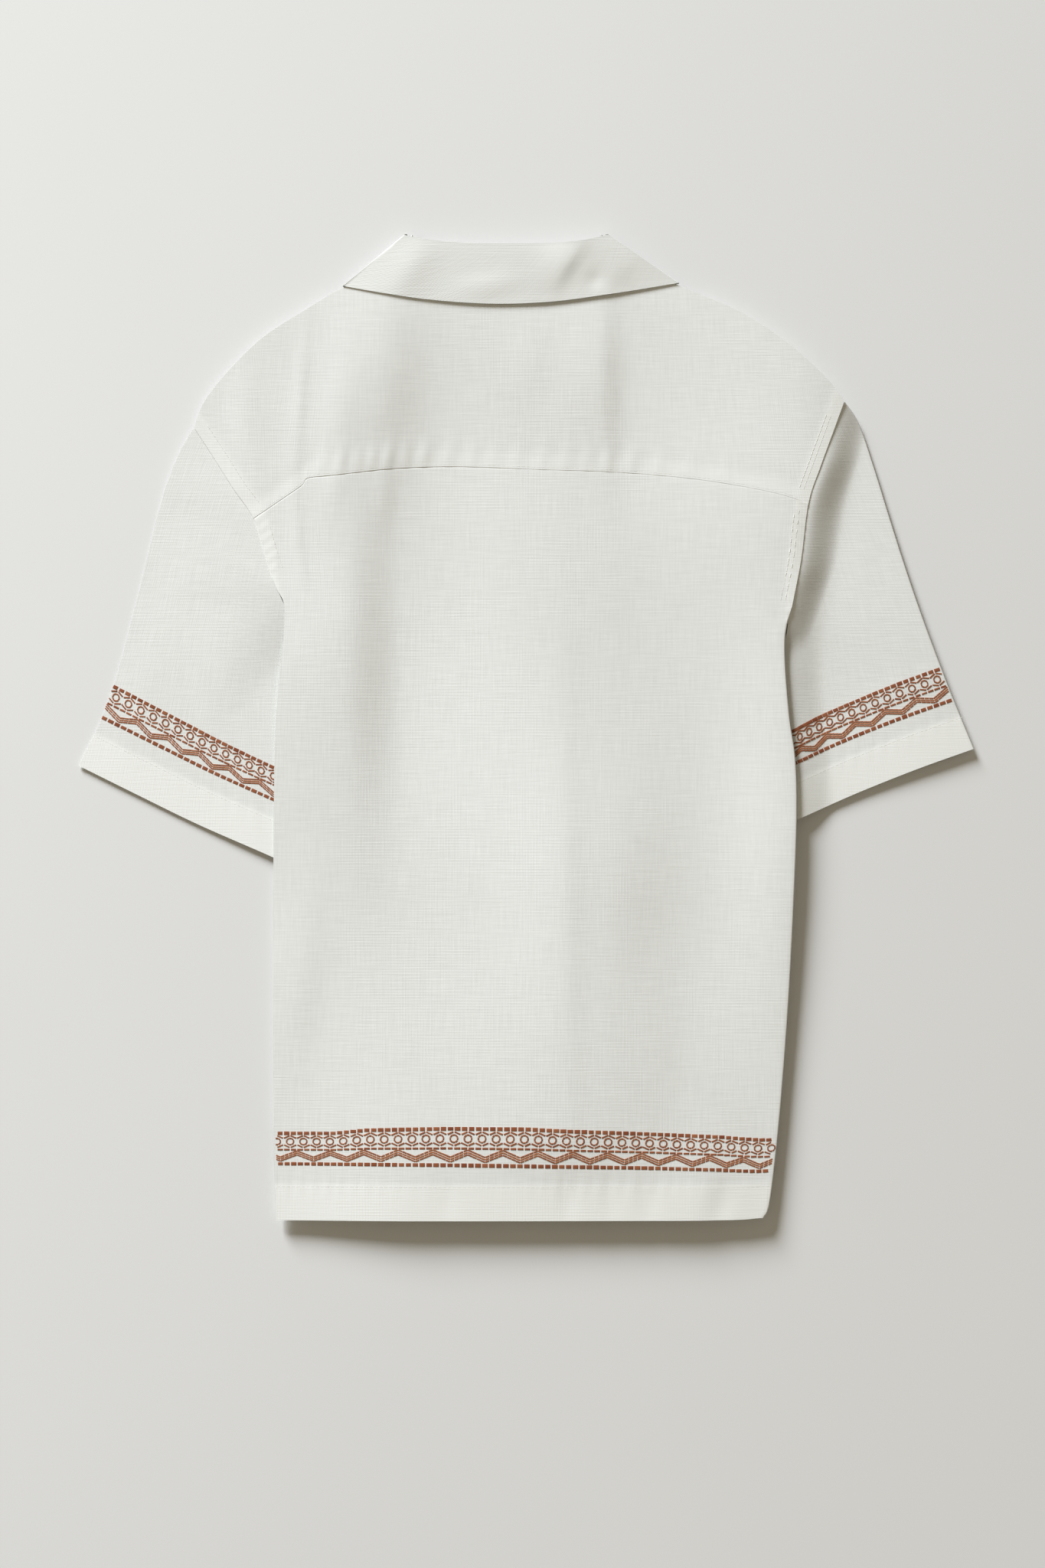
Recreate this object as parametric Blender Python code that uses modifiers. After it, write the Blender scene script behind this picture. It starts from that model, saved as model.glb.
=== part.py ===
"""A short-sleeve button-up shirt, laid face down with its back up and both sides tucked under.

X runs across the shirt, Y from the hem to the collar, and Z up from the surface that it lies on.
Sizes are in millimetres and are turned into metres where a mesh is made. "Left" and "right" are
the wearer's, which are also the left and right of somebody looking down on the back.
"""

import math

import bmesh
import bpy
import numpy as np

MM = 0.001
MERGE = 0.01  # points this close are one

# The cloth, and how closely its pieces lie
WALL = 1.2
SEAM_GAP = 0.35  # between the edges of two pieces at a seam
SLEEVE_GAP = 0.9  # across the armhole seam, which curves
LAYER_GAP = 0.45  # between two layers that lie on each other
AIR = 3.3  # between the front and the back of the flat body

# The levels of the layers, each measured to its upper face
FLAT_TOP = WALL + AIR + WALL  # the back, where only the front lies under it
FLAP_STACK = 4.4  # how far the two tucked layers raise what lies on them
SLEEVE_FLAT = 2.9  # a sleeve where the body lies on it
SLEEVE_TOP = 5.9  # a sleeve where nothing lies on it
SLEEVE_LIFT = SLEEVE_FLAT + LAYER_GAP
COLLAR_LIFT = WALL + LAYER_GAP  # the fronts lie on the collar's leaves
PLACKET_RIDGE = 2.0  # how far the buttons raise the back

# Over which distances those levels pass into each other, as (start, end)
SLEEVE_RAMP = (10.0, 62.0)  # beyond a sleeve's hidden part
LEAF_RAMP_Y = (175.0, 230.0)  # up towards the collar's leaves
LEAF_RAMP_X = (135.0, 192.0)  # out from the neck's middle
TUCK_RAMP = (6.0, 46.0)  # in from the tucked layers' inner edge
PLACKET_RAMP = (3.0, 33.0)  # out from the placket
RIDGE_END_Y = (266.0, 330.0)  # where the placket's ridge ends below the neckline
BODY_EDGE = 4.0  # how far above the fold the body stops lying on the sleeve
SLEEVE_RISE = (10.0, 36.0)  # out from the body, or up from there
SEAM_FADE = (4.0, 40.0)  # how far a body's ridge goes on into the sleeve

# The folds at the sides, measured across
BACK_FOLD = 4.0
FRONT_FOLD = 2.0
YOKE_FOLD = 2.8
SLEEVE_FOLD = 2.6
FOLD_STEPS = 5

# The side of the body and on up its armhole to the shoulder, as (x, y)
LEFT_SIDE = [
    (-188.5, -371.8),
    (-190.3, -330.0),
    (-190.8, -270.0),
    (-190.8, -200.0),
    (-190.9, -130.0),
    (-190.7, -70.0),
    (-189.6, -10.0),
    (-186.8, 35.0),
    (-182.1, 87.6),
    (-189.2, 107.0),
    (-197.0, 131.0),
    (-206.0, 159.0),
    (-221.0, 181.0),
    (-236.0, 204.5),
    (-251.0, 227.4),
]
RIGHT_SIDE = [
    (181.5, -369.5),
    (188.0, -330.0),
    (193.0, -280.0),
    (198.2, -210.0),
    (201.8, -140.0),
    (204.3, -70.0),
    (203.4, -25.0),
    (198.5, 12.0),
    (195.5, 64.4),
    (201.3, 95.0),
    (207.6, 128.0),
    (213.0, 170.0),
    (222.0, 197.0),
    (232.0, 224.0),
    (240.5, 247.1),
]
LEFT_FOLD_Y = 87.6  # where the armhole seam turns under the body
RIGHT_FOLD_Y = 64.4
# The hidden armpits, and the lower ends of the hidden side seams
LEFT_ARMPIT = (-116.0, 24.0)
RIGHT_ARMPIT = (130.0, 14.0)
LEFT_SEAM_END = (-110.0, -371.8)
RIGHT_SEAM_END = (106.0, -371.8)

HEM = [(-188.5, -371.8), (-60.0, -372.0), (60.0, -371.8), (150.0, -371.4), (181.5, -369.5)]
YOKE_SEAM = [
    (-206.0, 159.0),
    (-189.0, 171.0),
    (-167.6, 184.0),
    (-143.3, 191.5),
    (-97.0, 197.0),
    (-50.5, 198.2),
    (7.5, 196.0),
    (65.5, 194.0),
    (110.0, 190.5),
    (147.0, 185.6),
    (187.3, 177.8),
    (213.0, 170.0),
]
LEFT_SHOULDER = [
    (-251.0, 227.4),
    (-243.0, 247.0),
    (-224.5, 270.3),
    (-198.4, 295.5),
    (-166.5, 316.0),
    (-141.5, 330.8),
    (-118.0, 339.5),
    (-91.0, 349.0),
]
RIGHT_SHOULDER = [
    (65.0, 349.0),
    (93.0, 342.0),
    (116.6, 333.6),
    (135.1, 326.0),
    (158.3, 316.1),
    (181.5, 302.2),
    (204.7, 284.8),
    (227.9, 262.7),
    (240.5, 247.1),
]
BACK_NECKLINE = [(-91.0, 349.0), (-60.0, 340.0), (-13.0, 336.5), (34.0, 340.0), (65.0, 349.0)]
FORWARD_SEAM = 28.0  # how far the yoke reaches down the front
NECK_X = -12.0
# The front neckline from below the left shoulder seam to past the middle; the right mirrors it
FRONT_NECKLINE = [
    (-76.0, 298.0),
    (-58.0, 277.0),
    (-34.0, 265.5),
    (-12.0, 262.0),
    (10.0, 265.5),
    (34.0, 277.0),
]
PLACKET_X = -4.0
PLACKET_HALF = 15.0
PLACKET_ROOM = 2.75  # under the placket, for the buttons
LAP = WALL + 2 * SEAM_GAP  # the right front lies this much over the left one there

# The sleeves: outer edge from shoulder to hem, hem from outer edge to underarm
LEFT_OUTER = [
    (-251.0, 227.4),
    (-262.2, 208.0),
    (-272.5, 182.0),
    (-281.5, 150.0),
    (-290.0, 115.0),
    (-299.0, 80.0),
    (-308.5, 44.0),
    (-320.2, 9.3),
    (-338.7, -28.4),
]
LEFT_CUFF = [(-338.7, -28.4), (-294.1, -50.5), (-247.7, -73.1), (-190.8, -98.0), (-141.0, -121.0)]
RIGHT_OUTER = [
    (240.5, 247.1),
    (252.0, 230.0),
    (263.2, 197.8),
    (274.3, 161.8),
    (285.8, 125.3),
    (297.5, 90.5),
    (309.1, 58.6),
    (322.5, 23.8),
    (338.7, -15.7),
]
RIGHT_CUFF = [(338.7, -15.7), (296.0, -31.0), (251.0, -49.0), (205.3, -69.0), (149.0, -92.0)]

# The collar: its roll line and leaf edge across the back, as the outline shows them
COLLAR_ROLL = [
    (-92.8, 371.8),
    (-70.0, 368.0),
    (-45.0, 365.8),
    (-14.0, 365.3),
    (20.0, 365.6),
    (42.0, 367.6),
    (63.2, 371.8),
]
COLLAR_LEAF = [
    (-139.2, 333.5),
    (-108.5, 328.3),
    (-73.7, 323.4),
    (-27.3, 320.2),
    (19.1, 321.6),
    (65.5, 327.7),
    (116.6, 335.8),
]
COLLAR_SPREAD = 6.7  # from the collar's side folds in to where they start
COLLAR_TURN = 3.5
COLLAR_HALF = 2.2  # half the thickness of stand and fall together
COLLAR_SIDE_ROOM = 1.0  # more of it round the side folds
COLLAR_BACK_Z = 8.3
COLLAR_FRONT_Z = COLLAR_HALF
COLLAR_LEAF_DROP = 0.9  # the fall comes down to the yoke
COLLAR_FRONT_TAPER = 1.2  # the stand comes down to the fronts' neckline
NECK_EDGE = 0.95  # the collar's neck edge to the neckline
NECK_TURN = (1.2, 1.4)  # from the back neckline's corner to the neck edge at the side folds
NECK_STEP = 0.02  # the share of the neckline over which its direction is taken
COLLAR_SECTIONS = 9
COLLAR_TURNS = (180, 144, 108, 72, 36)  # degrees round a side fold
STAND_SHARES = (1.0, 0.5, 0.0)
ROLL_BENDS = (-45.0, 0.0, 45.0)  # degrees round the roll
LEAF_SHARES = (0.0, 0.33, 0.67, 1.0)
# The left half of its front, mirrored for the right: roll, leaf edge, and how far along the
# front neckline the neck edge lies
COLLAR_FRONT = [
    ((-66.0, 337.0), (-118.0, 296.0), 0.05),
    ((-46.0, 305.0), (-97.0, 264.0), 0.24),
    ((-19.0, 281.0), (-66.0, 236.0), 0.43),
]

# The largest soft forms of the top layers: middle, length, width, height and the way each runs
FORMS = [
    # x, y, along, across, height, degrees
    (-112.0, 60.0, 120.0, 26.0, -1.1, 88.0),
    (82.0, -130.0, 90.0, 42.0, -1.2, 100.0),
    (158.0, -60.0, 120.0, 26.0, 0.9, 96.0),
    (-120.0, -190.0, 130.0, 30.0, 0.8, 90.0),
    (-134.0, 262.0, 55.0, 14.0, -0.9, 62.0),
    (-86.0, 265.0, 50.0, 18.0, -0.8, 82.0),
    (100.0, 262.0, 60.0, 20.0, -0.9, 105.0),
    (206.0, 150.0, 70.0, 16.0, 2.4, 96.0),
    (206.0, 20.0, 60.0, 14.0, 1.0, 88.0),
]

# Rows and columns of the panels
LOW_ROWS = 7
MID_ROWS = 11
TURN_ROWS = 3
HIGH_ROWS = 4
MID_ZONE = 205.0  # the rows are closer over this much of the side below the fold
TURN_ZONE = 27.0  # over which the fold opens out
MOST_OPEN = 0.93  # the last row of a fold still turns a little, so that its faces have a width
BACK_COLUMNS = 19
FRONT_COLUMNS = 7
FRONT_HIGH_ROWS = 7
FLAP_COLUMNS = 3
SHOULDER_COLUMNS = 9
NECK_COLUMNS = 8
FOLD_ROW = LOW_ROWS + MID_ROWS  # the first row above the tucked flap
OPEN_ROW = FOLD_ROW + TURN_ROWS  # the first row with no fold left
YOKE_ROWS = 6
SLEEVE_ROWS = 9
SLEEVE_COLUMNS = 8
ARMHOLE_POINTS = 14
SLEEVE_EDGE_POINTS = 41  # along the cuff and the armhole, before they are shared out

# The buttons
BUTTON_RADIUS = 5.75
BUTTON_HEIGHT = 2.3
BUTTON_SIDES = 20
BUTTON_HOLE = 0.9
BUTTON_HOLE_SIDES = 8
BUTTON_HOLE_SPREAD = 1.7
BUTTON_BEVEL = 0.5
BUTTON_TOP_Y = 246.0
BUTTON_PITCH = 92.0
BUTTON_COUNT = 6

LINEN_COLOUR = (0.80, 0.79, 0.74, 1.0)
LINEN_ROUGHNESS = 0.92
SHELL_COLOUR = (0.86, 0.83, 0.76, 1.0)
SHELL_ROUGHNESS = 0.35


def ease(low, high, value):
    """Rises softly from 0 at low to 1 at high."""
    t = np.clip((np.asarray(value, float) - low) / (high - low), 0.0, 1.0)
    return t * t * (3.0 - 2.0 * t)


def smooth_line(points, steps=10):
    """Close points along a smooth curve through the given ones."""
    p = np.array(points, float)
    p = np.vstack([2 * p[0] - p[1], p, 2 * p[-1] - p[-2]])
    line = []
    for a, b, c, d in zip(p, p[1:], p[2:], p[3:]):
        for t in np.linspace(0.0, 1.0, steps, endpoint=False):
            square, cube = t * t, t * t * t
            bend = (2 * a - 5 * b + 4 * c - d) * square + (3 * b - a - 3 * c + d) * cube
            line.append(0.5 * (2 * b + (c - a) * t + bend))
    line.append(p[-2])
    return np.array(line)


def along(line, fractions):
    """The points at the given fractions of a line's length."""
    steps = np.linalg.norm(np.diff(line, axis=0), axis=1)
    run = np.concatenate([[0.0], np.cumsum(steps)]) / steps.sum()
    return np.column_stack([np.interp(fractions, run, line[:, k]) for k in range(2)])


def even(line, count):
    return along(line, np.linspace(0.0, 1.0, count))


def side_point(line, y, shift=0.0):
    """The point of a side line at height y, moved sideways."""
    return np.array([np.interp(y, line[:, 1], line[:, 0]) + shift, y])


def patch(bottom, top, left, right):
    """A grid of points between four edges; its rows run from the bottom edge to the top one."""
    u = np.linspace(0.0, 1.0, len(bottom))[None, :, None]
    v = np.linspace(0.0, 1.0, len(left))[:, None, None]
    edges = (1 - v) * bottom[None] + v * top[None] + (1 - u) * left[:, None] + u * right[:, None]
    low = (1 - u) * bottom[0] + u * bottom[-1]
    high = (1 - u) * top[0] + u * top[-1]
    return edges - (1 - v) * low - v * high


LEFT = smooth_line(LEFT_SIDE)
RIGHT = smooth_line(RIGHT_SIDE)
LEFT_TUCK = np.array([side_point(LEFT, LEFT_FOLD_Y), LEFT_ARMPIT, LEFT_SEAM_END])[::-1]
RIGHT_TUCK = np.array([side_point(RIGHT, RIGHT_FOLD_Y), RIGHT_ARMPIT, RIGHT_SEAM_END])[::-1]
SEAM = smooth_line(YOKE_SEAM)


class Side:
    """One side of the body: its edge line, its tuck and the way out of the body."""

    def __init__(self, edge, tuck, fold_y, out, cuff):
        self.edge, self.tuck, self.fold_y, self.out = edge, tuck, fold_y, out
        self.cuff = cuff

    def inside(self, x, y):
        """How far a point lies in from the edge."""
        return self.out * (np.interp(y, self.edge[:, 1], self.edge[:, 0]) - x)

    def tuck_width(self, y):
        seam = np.interp(y, self.tuck[:, 1], self.tuck[:, 0])
        edge = np.interp(y, self.edge[:, 1], self.edge[:, 0])
        return np.maximum(self.out * (edge - seam) - BACK_FOLD, 2.0)

    def off_sleeve(self, x, y):
        """How far a point lies beyond the sleeve's part under the body."""
        fold = side_point(self.edge, self.fold_y)
        armpit = self.tuck[1]
        corner = np.array(self.cuff[-1])
        outer = np.array(self.cuff[0])
        gaps = [self.beyond(fold, armpit, x, y), self.beyond(armpit, corner, x, y)]
        gaps.append(self.beyond(corner, outer, x, y))
        return np.maximum.reduce(gaps)

    def beyond(self, start, end, x, y):
        run = (end - start) / np.linalg.norm(end - start)
        return self.out * ((x - start[0]) * run[1] - (y - start[1]) * run[0])


LEFT_BODY = Side(LEFT, LEFT_TUCK, LEFT_FOLD_Y, -1.0, LEFT_CUFF)
RIGHT_BODY = Side(RIGHT, RIGHT_TUCK, RIGHT_FOLD_Y, 1.0, RIGHT_CUFF)
SIDES = (LEFT_BODY, RIGHT_BODY)


def lift(x, y):
    """How high the lowest layer of the body lies: over the sleeves, and over the collar's leaves."""
    x, y = np.asarray(x, float), np.asarray(y, float)
    over_sleeves = sum(1 - ease(*SLEEVE_RAMP, side.off_sleeve(x, y)) for side in SIDES)
    over_leaves = ease(*LEAF_RAMP_Y, y) * (1 - ease(*LEAF_RAMP_X, np.abs(x - NECK_X)))
    return SLEEVE_LIFT * over_sleeves + COLLAR_LIFT * over_leaves


def tucked(x, y):
    """1 over the tucked sides, 0 well away from them."""
    total = 0.0
    for side in SIDES:
        across = 1 - ease(*TUCK_RAMP, side.inside(x, y) - side.tuck_width(y))
        total = total + across * (1 - ease(side.fold_y, side.fold_y + TURN_ZONE, y))
    return total


def placket(x):
    """1 along the buttons, 0 well away from them."""
    return 1 - ease(*PLACKET_RAMP, np.abs(np.asarray(x) - PLACKET_X) - PLACKET_HALF)


def relief(x, y):
    """The soft ridges and troughs of the upper layers."""
    total = 0.0
    for mid_x, mid_y, length, width, height, degrees in FORMS:
        turn = math.radians(degrees)
        run = (x - mid_x) * math.cos(turn) + (y - mid_y) * math.sin(turn)
        off = (y - mid_y) * math.cos(turn) - (x - mid_x) * math.sin(turn)
        total = total + height * np.exp(-((run / length) ** 2) - (off / width) ** 2)
    return total


def front_level(x, y, room):
    """The upper face of a front that is raised by room along the placket."""
    return WALL + lift(x, y) + FLAP_STACK * tucked(x, y) + room * placket(x)


def back_level(x, y):
    """The upper face of the back and the yoke."""
    ridge = PLACKET_RIDGE * placket(x) * (1 - ease(*RIDGE_END_Y, y))
    return FLAT_TOP + lift(x, y) + FLAP_STACK * tucked(x, y) + ridge + relief(x, y)


def sleeve_level(side, x, y):
    """The upper face of a sleeve: low where the body lies on it, with the body at their seam."""
    clear = np.maximum(-side.inside(x, y), y - side.fold_y - BODY_EDGE)
    by_seam = 1 - ease(*SEAM_FADE, np.abs(side.inside(x, y)))
    seam_form = relief(x, y) * by_seam
    return SLEEVE_FLAT + (SLEEVE_TOP - SLEEVE_FLAT + seam_form) * ease(*SLEEVE_RISE, clear)


def fold_arc(turn, radius, high, low):
    """(distance in from the edge, height) round a fold, from its upper start through turn."""
    middle, half = (high + low) / 2, (high - low) / 2
    start = radius * (1 - math.sin(min(turn, math.pi / 2)))
    points = []
    for step in range(1, FOLD_STEPS + 1):
        angle = turn * step / FOLD_STEPS
        points.append((radius * (1 - math.sin(angle)) - start, middle + half * math.cos(angle)))
    return points


def heights(foot, fold_y, top):
    """The heights of a side's rows: close where the sleeve passes and the fold opens."""
    low = np.linspace(foot, fold_y - MID_ZONE, LOW_ROWS, endpoint=False)
    mid = np.linspace(fold_y - MID_ZONE, fold_y, MID_ROWS, endpoint=False)
    turn = np.linspace(fold_y, fold_y + TURN_ZONE, TURN_ROWS, endpoint=False)
    return np.concatenate([low, mid, turn, np.linspace(fold_y + TURN_ZONE, top, HIGH_ROWS)])


def fold_turn(side, y):
    """How far round the side fold the back's cloth goes at height y."""
    return math.pi * (1 - float(np.clip((y - side.fold_y) / TURN_ZONE, 0.0, MOST_OPEN)))


def add_grid(mesh, grid):
    """Adds a grid of points, in millimetres, as quads that face the viewer of its rows."""
    rows = [[mesh.verts.new(point * MM) for point in row] for row in grid]
    for low, high in zip(rows, rows[1:]):
        for a, b, c, d in zip(low, low[1:], high[1:], high):
            mesh.faces.new((a, b, c, d))


def cloth_piece(name, grids, collection):
    """One piece of cloth: grids that share their edges, thickened inwards."""
    mesh = bmesh.new()
    for grid in grids:
        add_grid(mesh, np.array(grid, float))
    bmesh.ops.remove_doubles(mesh, verts=mesh.verts, dist=MERGE * MM)
    data = bpy.data.meshes.new(name)
    mesh.to_mesh(data)
    mesh.free()
    piece = bpy.data.objects.new(name, data)
    collection.objects.link(piece)
    data.materials.append(finish(name + "_linen", LINEN_COLOUR, LINEN_ROUGHNESS))
    wall = piece.modifiers.new("cloth wall", "SOLIDIFY")
    wall.thickness = WALL * MM
    wall.offset = -1.0
    wall.use_even_offset = True
    data.shade_smooth()
    return piece


def finish(name, colour, roughness):
    material = bpy.data.materials.new(name)
    material.use_nodes = True
    shader = material.node_tree.nodes["Principled BSDF"]
    shader.inputs["Base Color"].default_value = colour
    shader.inputs["Roughness"].default_value = roughness
    shader.inputs["Metallic"].default_value = 0.0
    return material


def raised(plan, level):
    """Plan points with their heights."""
    plan = np.asarray(plan, float)
    return np.dstack([plan[..., 0], plan[..., 1], level(plan[..., 0], plan[..., 1])])


def back_edge(side, y):
    """The back's edge before its fold: in by the fold's width once the fold has opened."""
    turn = fold_turn(side, y) if y < side.fold_y + TURN_ZONE else 0.0
    inset = BACK_FOLD * math.sin(min(turn, math.pi / 2))
    return side_point(side.edge, y, -side.out * inset)


def side_fold(side, y, start_height):
    """The back's points round its side fold at height y, from the upper face down."""
    edge = side_point(side.edge, y)
    low = float(lift(edge[0] - side.out * BACK_FOLD, y))
    arc = fold_arc(fold_turn(side, y), BACK_FOLD, start_height, low)
    return [(edge[0] - side.out * inset, y, z) for inset, z in arc]


def tuck_plan(side, y):
    """Where the tucked layers of one row lie, from the fold in to the side seam."""
    steps = np.arange(1, FLAP_COLUMNS + 1) / FLAP_COLUMNS
    edge = side_point(side.edge, y)[0]
    return edge - side.out * (BACK_FOLD + side.tuck_width(y) * steps)


def in_order(side, rows):
    """Rows that run outwards from the body, turned so that they run from left to right."""
    return [row[::-1] for row in rows] if side is LEFT_BODY else rows


def back_panel(collection):
    left_y = heights(LEFT_SIDE[0][1], LEFT_FOLD_Y, YOKE_SEAM[0][1])
    right_y = heights(RIGHT_SIDE[0][1], RIGHT_FOLD_Y, YOKE_SEAM[-1][1])
    left = np.array([back_edge(LEFT_BODY, y) for y in left_y])
    right = np.array([back_edge(RIGHT_BODY, y) for y in right_y])
    hem = even(smooth_line([left[0], *HEM[1:-1], right[0]]), BACK_COLUMNS)
    top = even(SEAM, BACK_COLUMNS)
    panel = raised(patch(hem, top, left, right), back_level)
    grids = [panel]
    for side, ys, column in ((LEFT_BODY, left_y, 0), (RIGHT_BODY, right_y, -1)):
        folds, flaps = [], []
        for row, y in enumerate(ys[:OPEN_ROW]):
            start = tuple(panel[row, column])
            fold = [start, *side_fold(side, y, start[2])]
            folds.append(fold)
            if row <= FOLD_ROW:
                xs = tuck_plan(side, y)
                flaps.append([fold[-1], *[(x, y, float(lift(x, y))) for x in xs]])
        grids += [in_order(side, folds), in_order(side, flaps)]
    return cloth_piece("back", grids, collection)


def yoke_columns():
    """Each yoke column's upper point, its direction down the yoke and its lower point."""
    count = 2 * SHOULDER_COLUMNS + NECK_COLUMNS + 1
    fractions = np.linspace(0.0, 1.0, count)
    lower = along(SEAM, fractions)
    left = even(smooth_line(LEFT_SHOULDER), SHOULDER_COLUMNS + 1)
    neck = even(smooth_line(BACK_NECKLINE), NECK_COLUMNS + 1)
    right = even(smooth_line(RIGHT_SHOULDER), SHOULDER_COLUMNS + 1)
    upper = np.vstack([left, neck[1:-1], right])
    inward = lower - upper
    inward = inward / np.linalg.norm(inward, axis=1)[:, None]
    return upper, inward, lower


def yoke_panel(collection):
    upper, inward, lower = yoke_columns()
    lower = lower + np.array([0.0, SEAM_GAP])
    last = len(upper) - 1
    shoulders = (range(SHOULDER_COLUMNS + 1), range(last - SHOULDER_COLUMNS, last + 1))
    inset = np.zeros(len(upper))
    for span in shoulders:
        inset[list(span)] = YOKE_FOLD
    top = upper + inward * inset[:, None]
    tip_left = armhole_line(LEFT, lower[0], top[0], YOKE_ROWS)
    tip_right = armhole_line(RIGHT, lower[-1], top[-1], YOKE_ROWS)
    panel = raised(patch(lower, top, tip_left, tip_right), back_level)
    grids = [panel]
    for span in shoulders:
        rows = [[tuple(panel[-1, column]) for column in span]]
        folds = [shoulder_fold(upper[c], inward[c], panel[-1, c, 2]) for c in span]
        rows += [list(row) for row in zip(*folds)]
        grids.append(rows)
    return cloth_piece("yoke", grids, collection)


def shoulder_fold(edge, inward, start_height):
    """The yoke's points over one shoulder column, down and back under to its forward seam."""
    low = float(lift(*edge))
    arc = fold_arc(math.pi, YOKE_FOLD, start_height, low)
    points = [(*(edge + inward * inset), z) for inset, z in arc]
    for step in range(1, FLAP_COLUMNS + 1):
        plan = edge + inward * (YOKE_FOLD + (FORWARD_SEAM - YOKE_FOLD) * step / FLAP_COLUMNS)
        points.append((*plan, float(lift(*plan))))
    return points


def armhole_line(edge, start, end, count):
    """Points of a side line from one point up to another, which it then meets exactly."""
    line = np.array([side_point(edge, y) for y in np.linspace(start[1], end[1], count)])
    fade = np.linspace(0.0, 1.0, count)[:, None]
    return line + (1 - fade) * (start - line[0]) + fade * (end - line[-1])


def front_edge(side, y):
    """A front's edge: at its fold's start where it is folded, and at the armhole above."""
    folded = 1 - float(ease(side.fold_y + TURN_ZONE, side.fold_y + 2 * TURN_ZONE, y))
    inset = SEAM_GAP + (BACK_FOLD - SEAM_GAP) * folded
    return side_point(side.edge, y, -side.out * inset)


def forward_seam(side):
    """A front's shoulder edge, from the armhole to the neckline, just clear of the yoke."""
    upper, inward, _ = yoke_columns()
    edge = upper + inward * (FORWARD_SEAM + SEAM_GAP)
    return edge[: SHOULDER_COLUMNS + 1] if side is LEFT_BODY else edge[: -SHOULDER_COLUMNS - 2 : -1]


def neckline_edge(side):
    """The front neckline, from a shoulder seam's end to past the middle."""
    points = FRONT_NECKLINE if side is LEFT_BODY else [mirrored(p) for p in FRONT_NECKLINE]
    return smooth_line([forward_seam(side)[-1], *points])


def front_fold(side, y, start_height):
    """A front's fold and tucked flap at height y, inside the back's."""
    edge = side_point(side.edge, y)[0] - side.out * (BACK_FOLD - FRONT_FOLD)
    start_x = edge - side.out * FRONT_FOLD
    low = float(lift(start_x, y)) + WALL + LAYER_GAP
    points = [(edge - side.out * q, y, z) for q, z in fold_arc(math.pi, FRONT_FOLD, start_height, low)]
    flap = [(x, y, float(lift(x, y)) + WALL + LAYER_GAP) for x in tuck_plan(side, y)]
    return points + flap


def front_panel(name, side, foot, room, collection):
    """A front: flat at the placket, folded at the side and tucked under with the back."""
    seam = forward_seam(side)
    centre_x = PLACKET_X - side.out * PLACKET_HALF
    neckline = neckline_edge(side)
    neckline = neckline[side.out * (neckline[:, 0] - centre_x) > 0.5]
    corner = (centre_x, neckline[-1, 1])
    top = even(np.vstack([seam, neckline[1:], [corner]]), 2 * FRONT_COLUMNS + 1)
    low_y = heights(foot, side.fold_y, side.fold_y + 2 * TURN_ZONE)[: FOLD_ROW + 1]
    high_y = np.linspace(side.fold_y, seam[0][1], FRONT_HIGH_ROWS + 1)
    columns = len(top)
    low = []
    for y in low_y:
        low.append(np.linspace(front_edge(side, y), (centre_x, y), columns))
    armhole = np.array([front_edge(side, y) for y in high_y])
    armhole[-1] = seam[0]
    centre = np.linspace(low[-1][-1], top[-1], len(high_y))
    high = patch(low[-1], top, armhole, centre)
    plan = np.vstack([np.array(low), high[1:]])
    panel = raised(plan, lambda x, y: front_level(x, y, room))
    folds = []
    for row, y in enumerate(low_y):
        start = tuple(panel[row, 0])
        folds.append([start, *front_fold(side, y, start[2])])
    if side is LEFT_BODY:
        folds = [row[::-1] for row in folds]
    else:
        panel = panel[:, ::-1]
    return cloth_piece(name, [panel, folds], collection)


def sleeve(name, side, outer, cuff, collection):
    """A sleeve: a flat tube from the armhole to the cuff, whose underarm lies under the body."""
    fold = side_point(side.edge, side.fold_y)
    seam = [p for p in side.edge[::-1] if p[1] > side.fold_y] + [fold]
    armhole = smooth_line(along(np.vstack([seam, side.tuck[1][None]]), np.linspace(0, 1, ARMHOLE_POINTS)))
    armhole = armhole + np.array([side.out * SLEEVE_GAP, 0.0])
    outer = even(smooth_line(outer), SLEEVE_ROWS)
    outer[0] = armhole[0]
    cuff = smooth_line(cuff)
    under = np.linspace(armhole[-1], cuff[-1], SLEEVE_ROWS)
    ends = even(cuff, SLEEVE_EDGE_POINTS), even(armhole, SLEEVE_EDGE_POINTS)
    plan = patch(*ends, outer[::-1], under[::-1])
    rings = [sleeve_ring(side, row) for row in plan]
    return cloth_piece(name, [rings], collection)


def sleeve_ring(side, line):
    """One ring of a sleeve, from a line of plan points between its outer and underarm edges."""
    if side is RIGHT_BODY:
        line = line[::-1]
    width = np.linalg.norm(line[-1] - line[0])
    inset = SLEEVE_FOLD / width
    across = along(line, np.linspace(inset, 1 - inset, SLEEVE_COLUMNS))
    top = [(x, y, float(sleeve_level(side, x, y))) for x, y in across]
    ring = list(top)
    run = (line[-1] - line[0]) / width
    for q, z in fold_arc(math.pi, SLEEVE_FOLD, top[-1][2], 0.0):
        ring.append((*(line[-1] - run * q), z))
    for x, y in across[-2:0:-1]:
        ring.append((x, y, 0.0))
    ring.append((*(line[0] + run * SLEEVE_FOLD), 0.0))
    for q, z in fold_arc(math.pi, SLEEVE_FOLD, top[0][2], 0.0)[-2::-1]:
        ring.append((*(line[0] + run * q), z))
    ring.append(top[0])
    return ring


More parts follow.
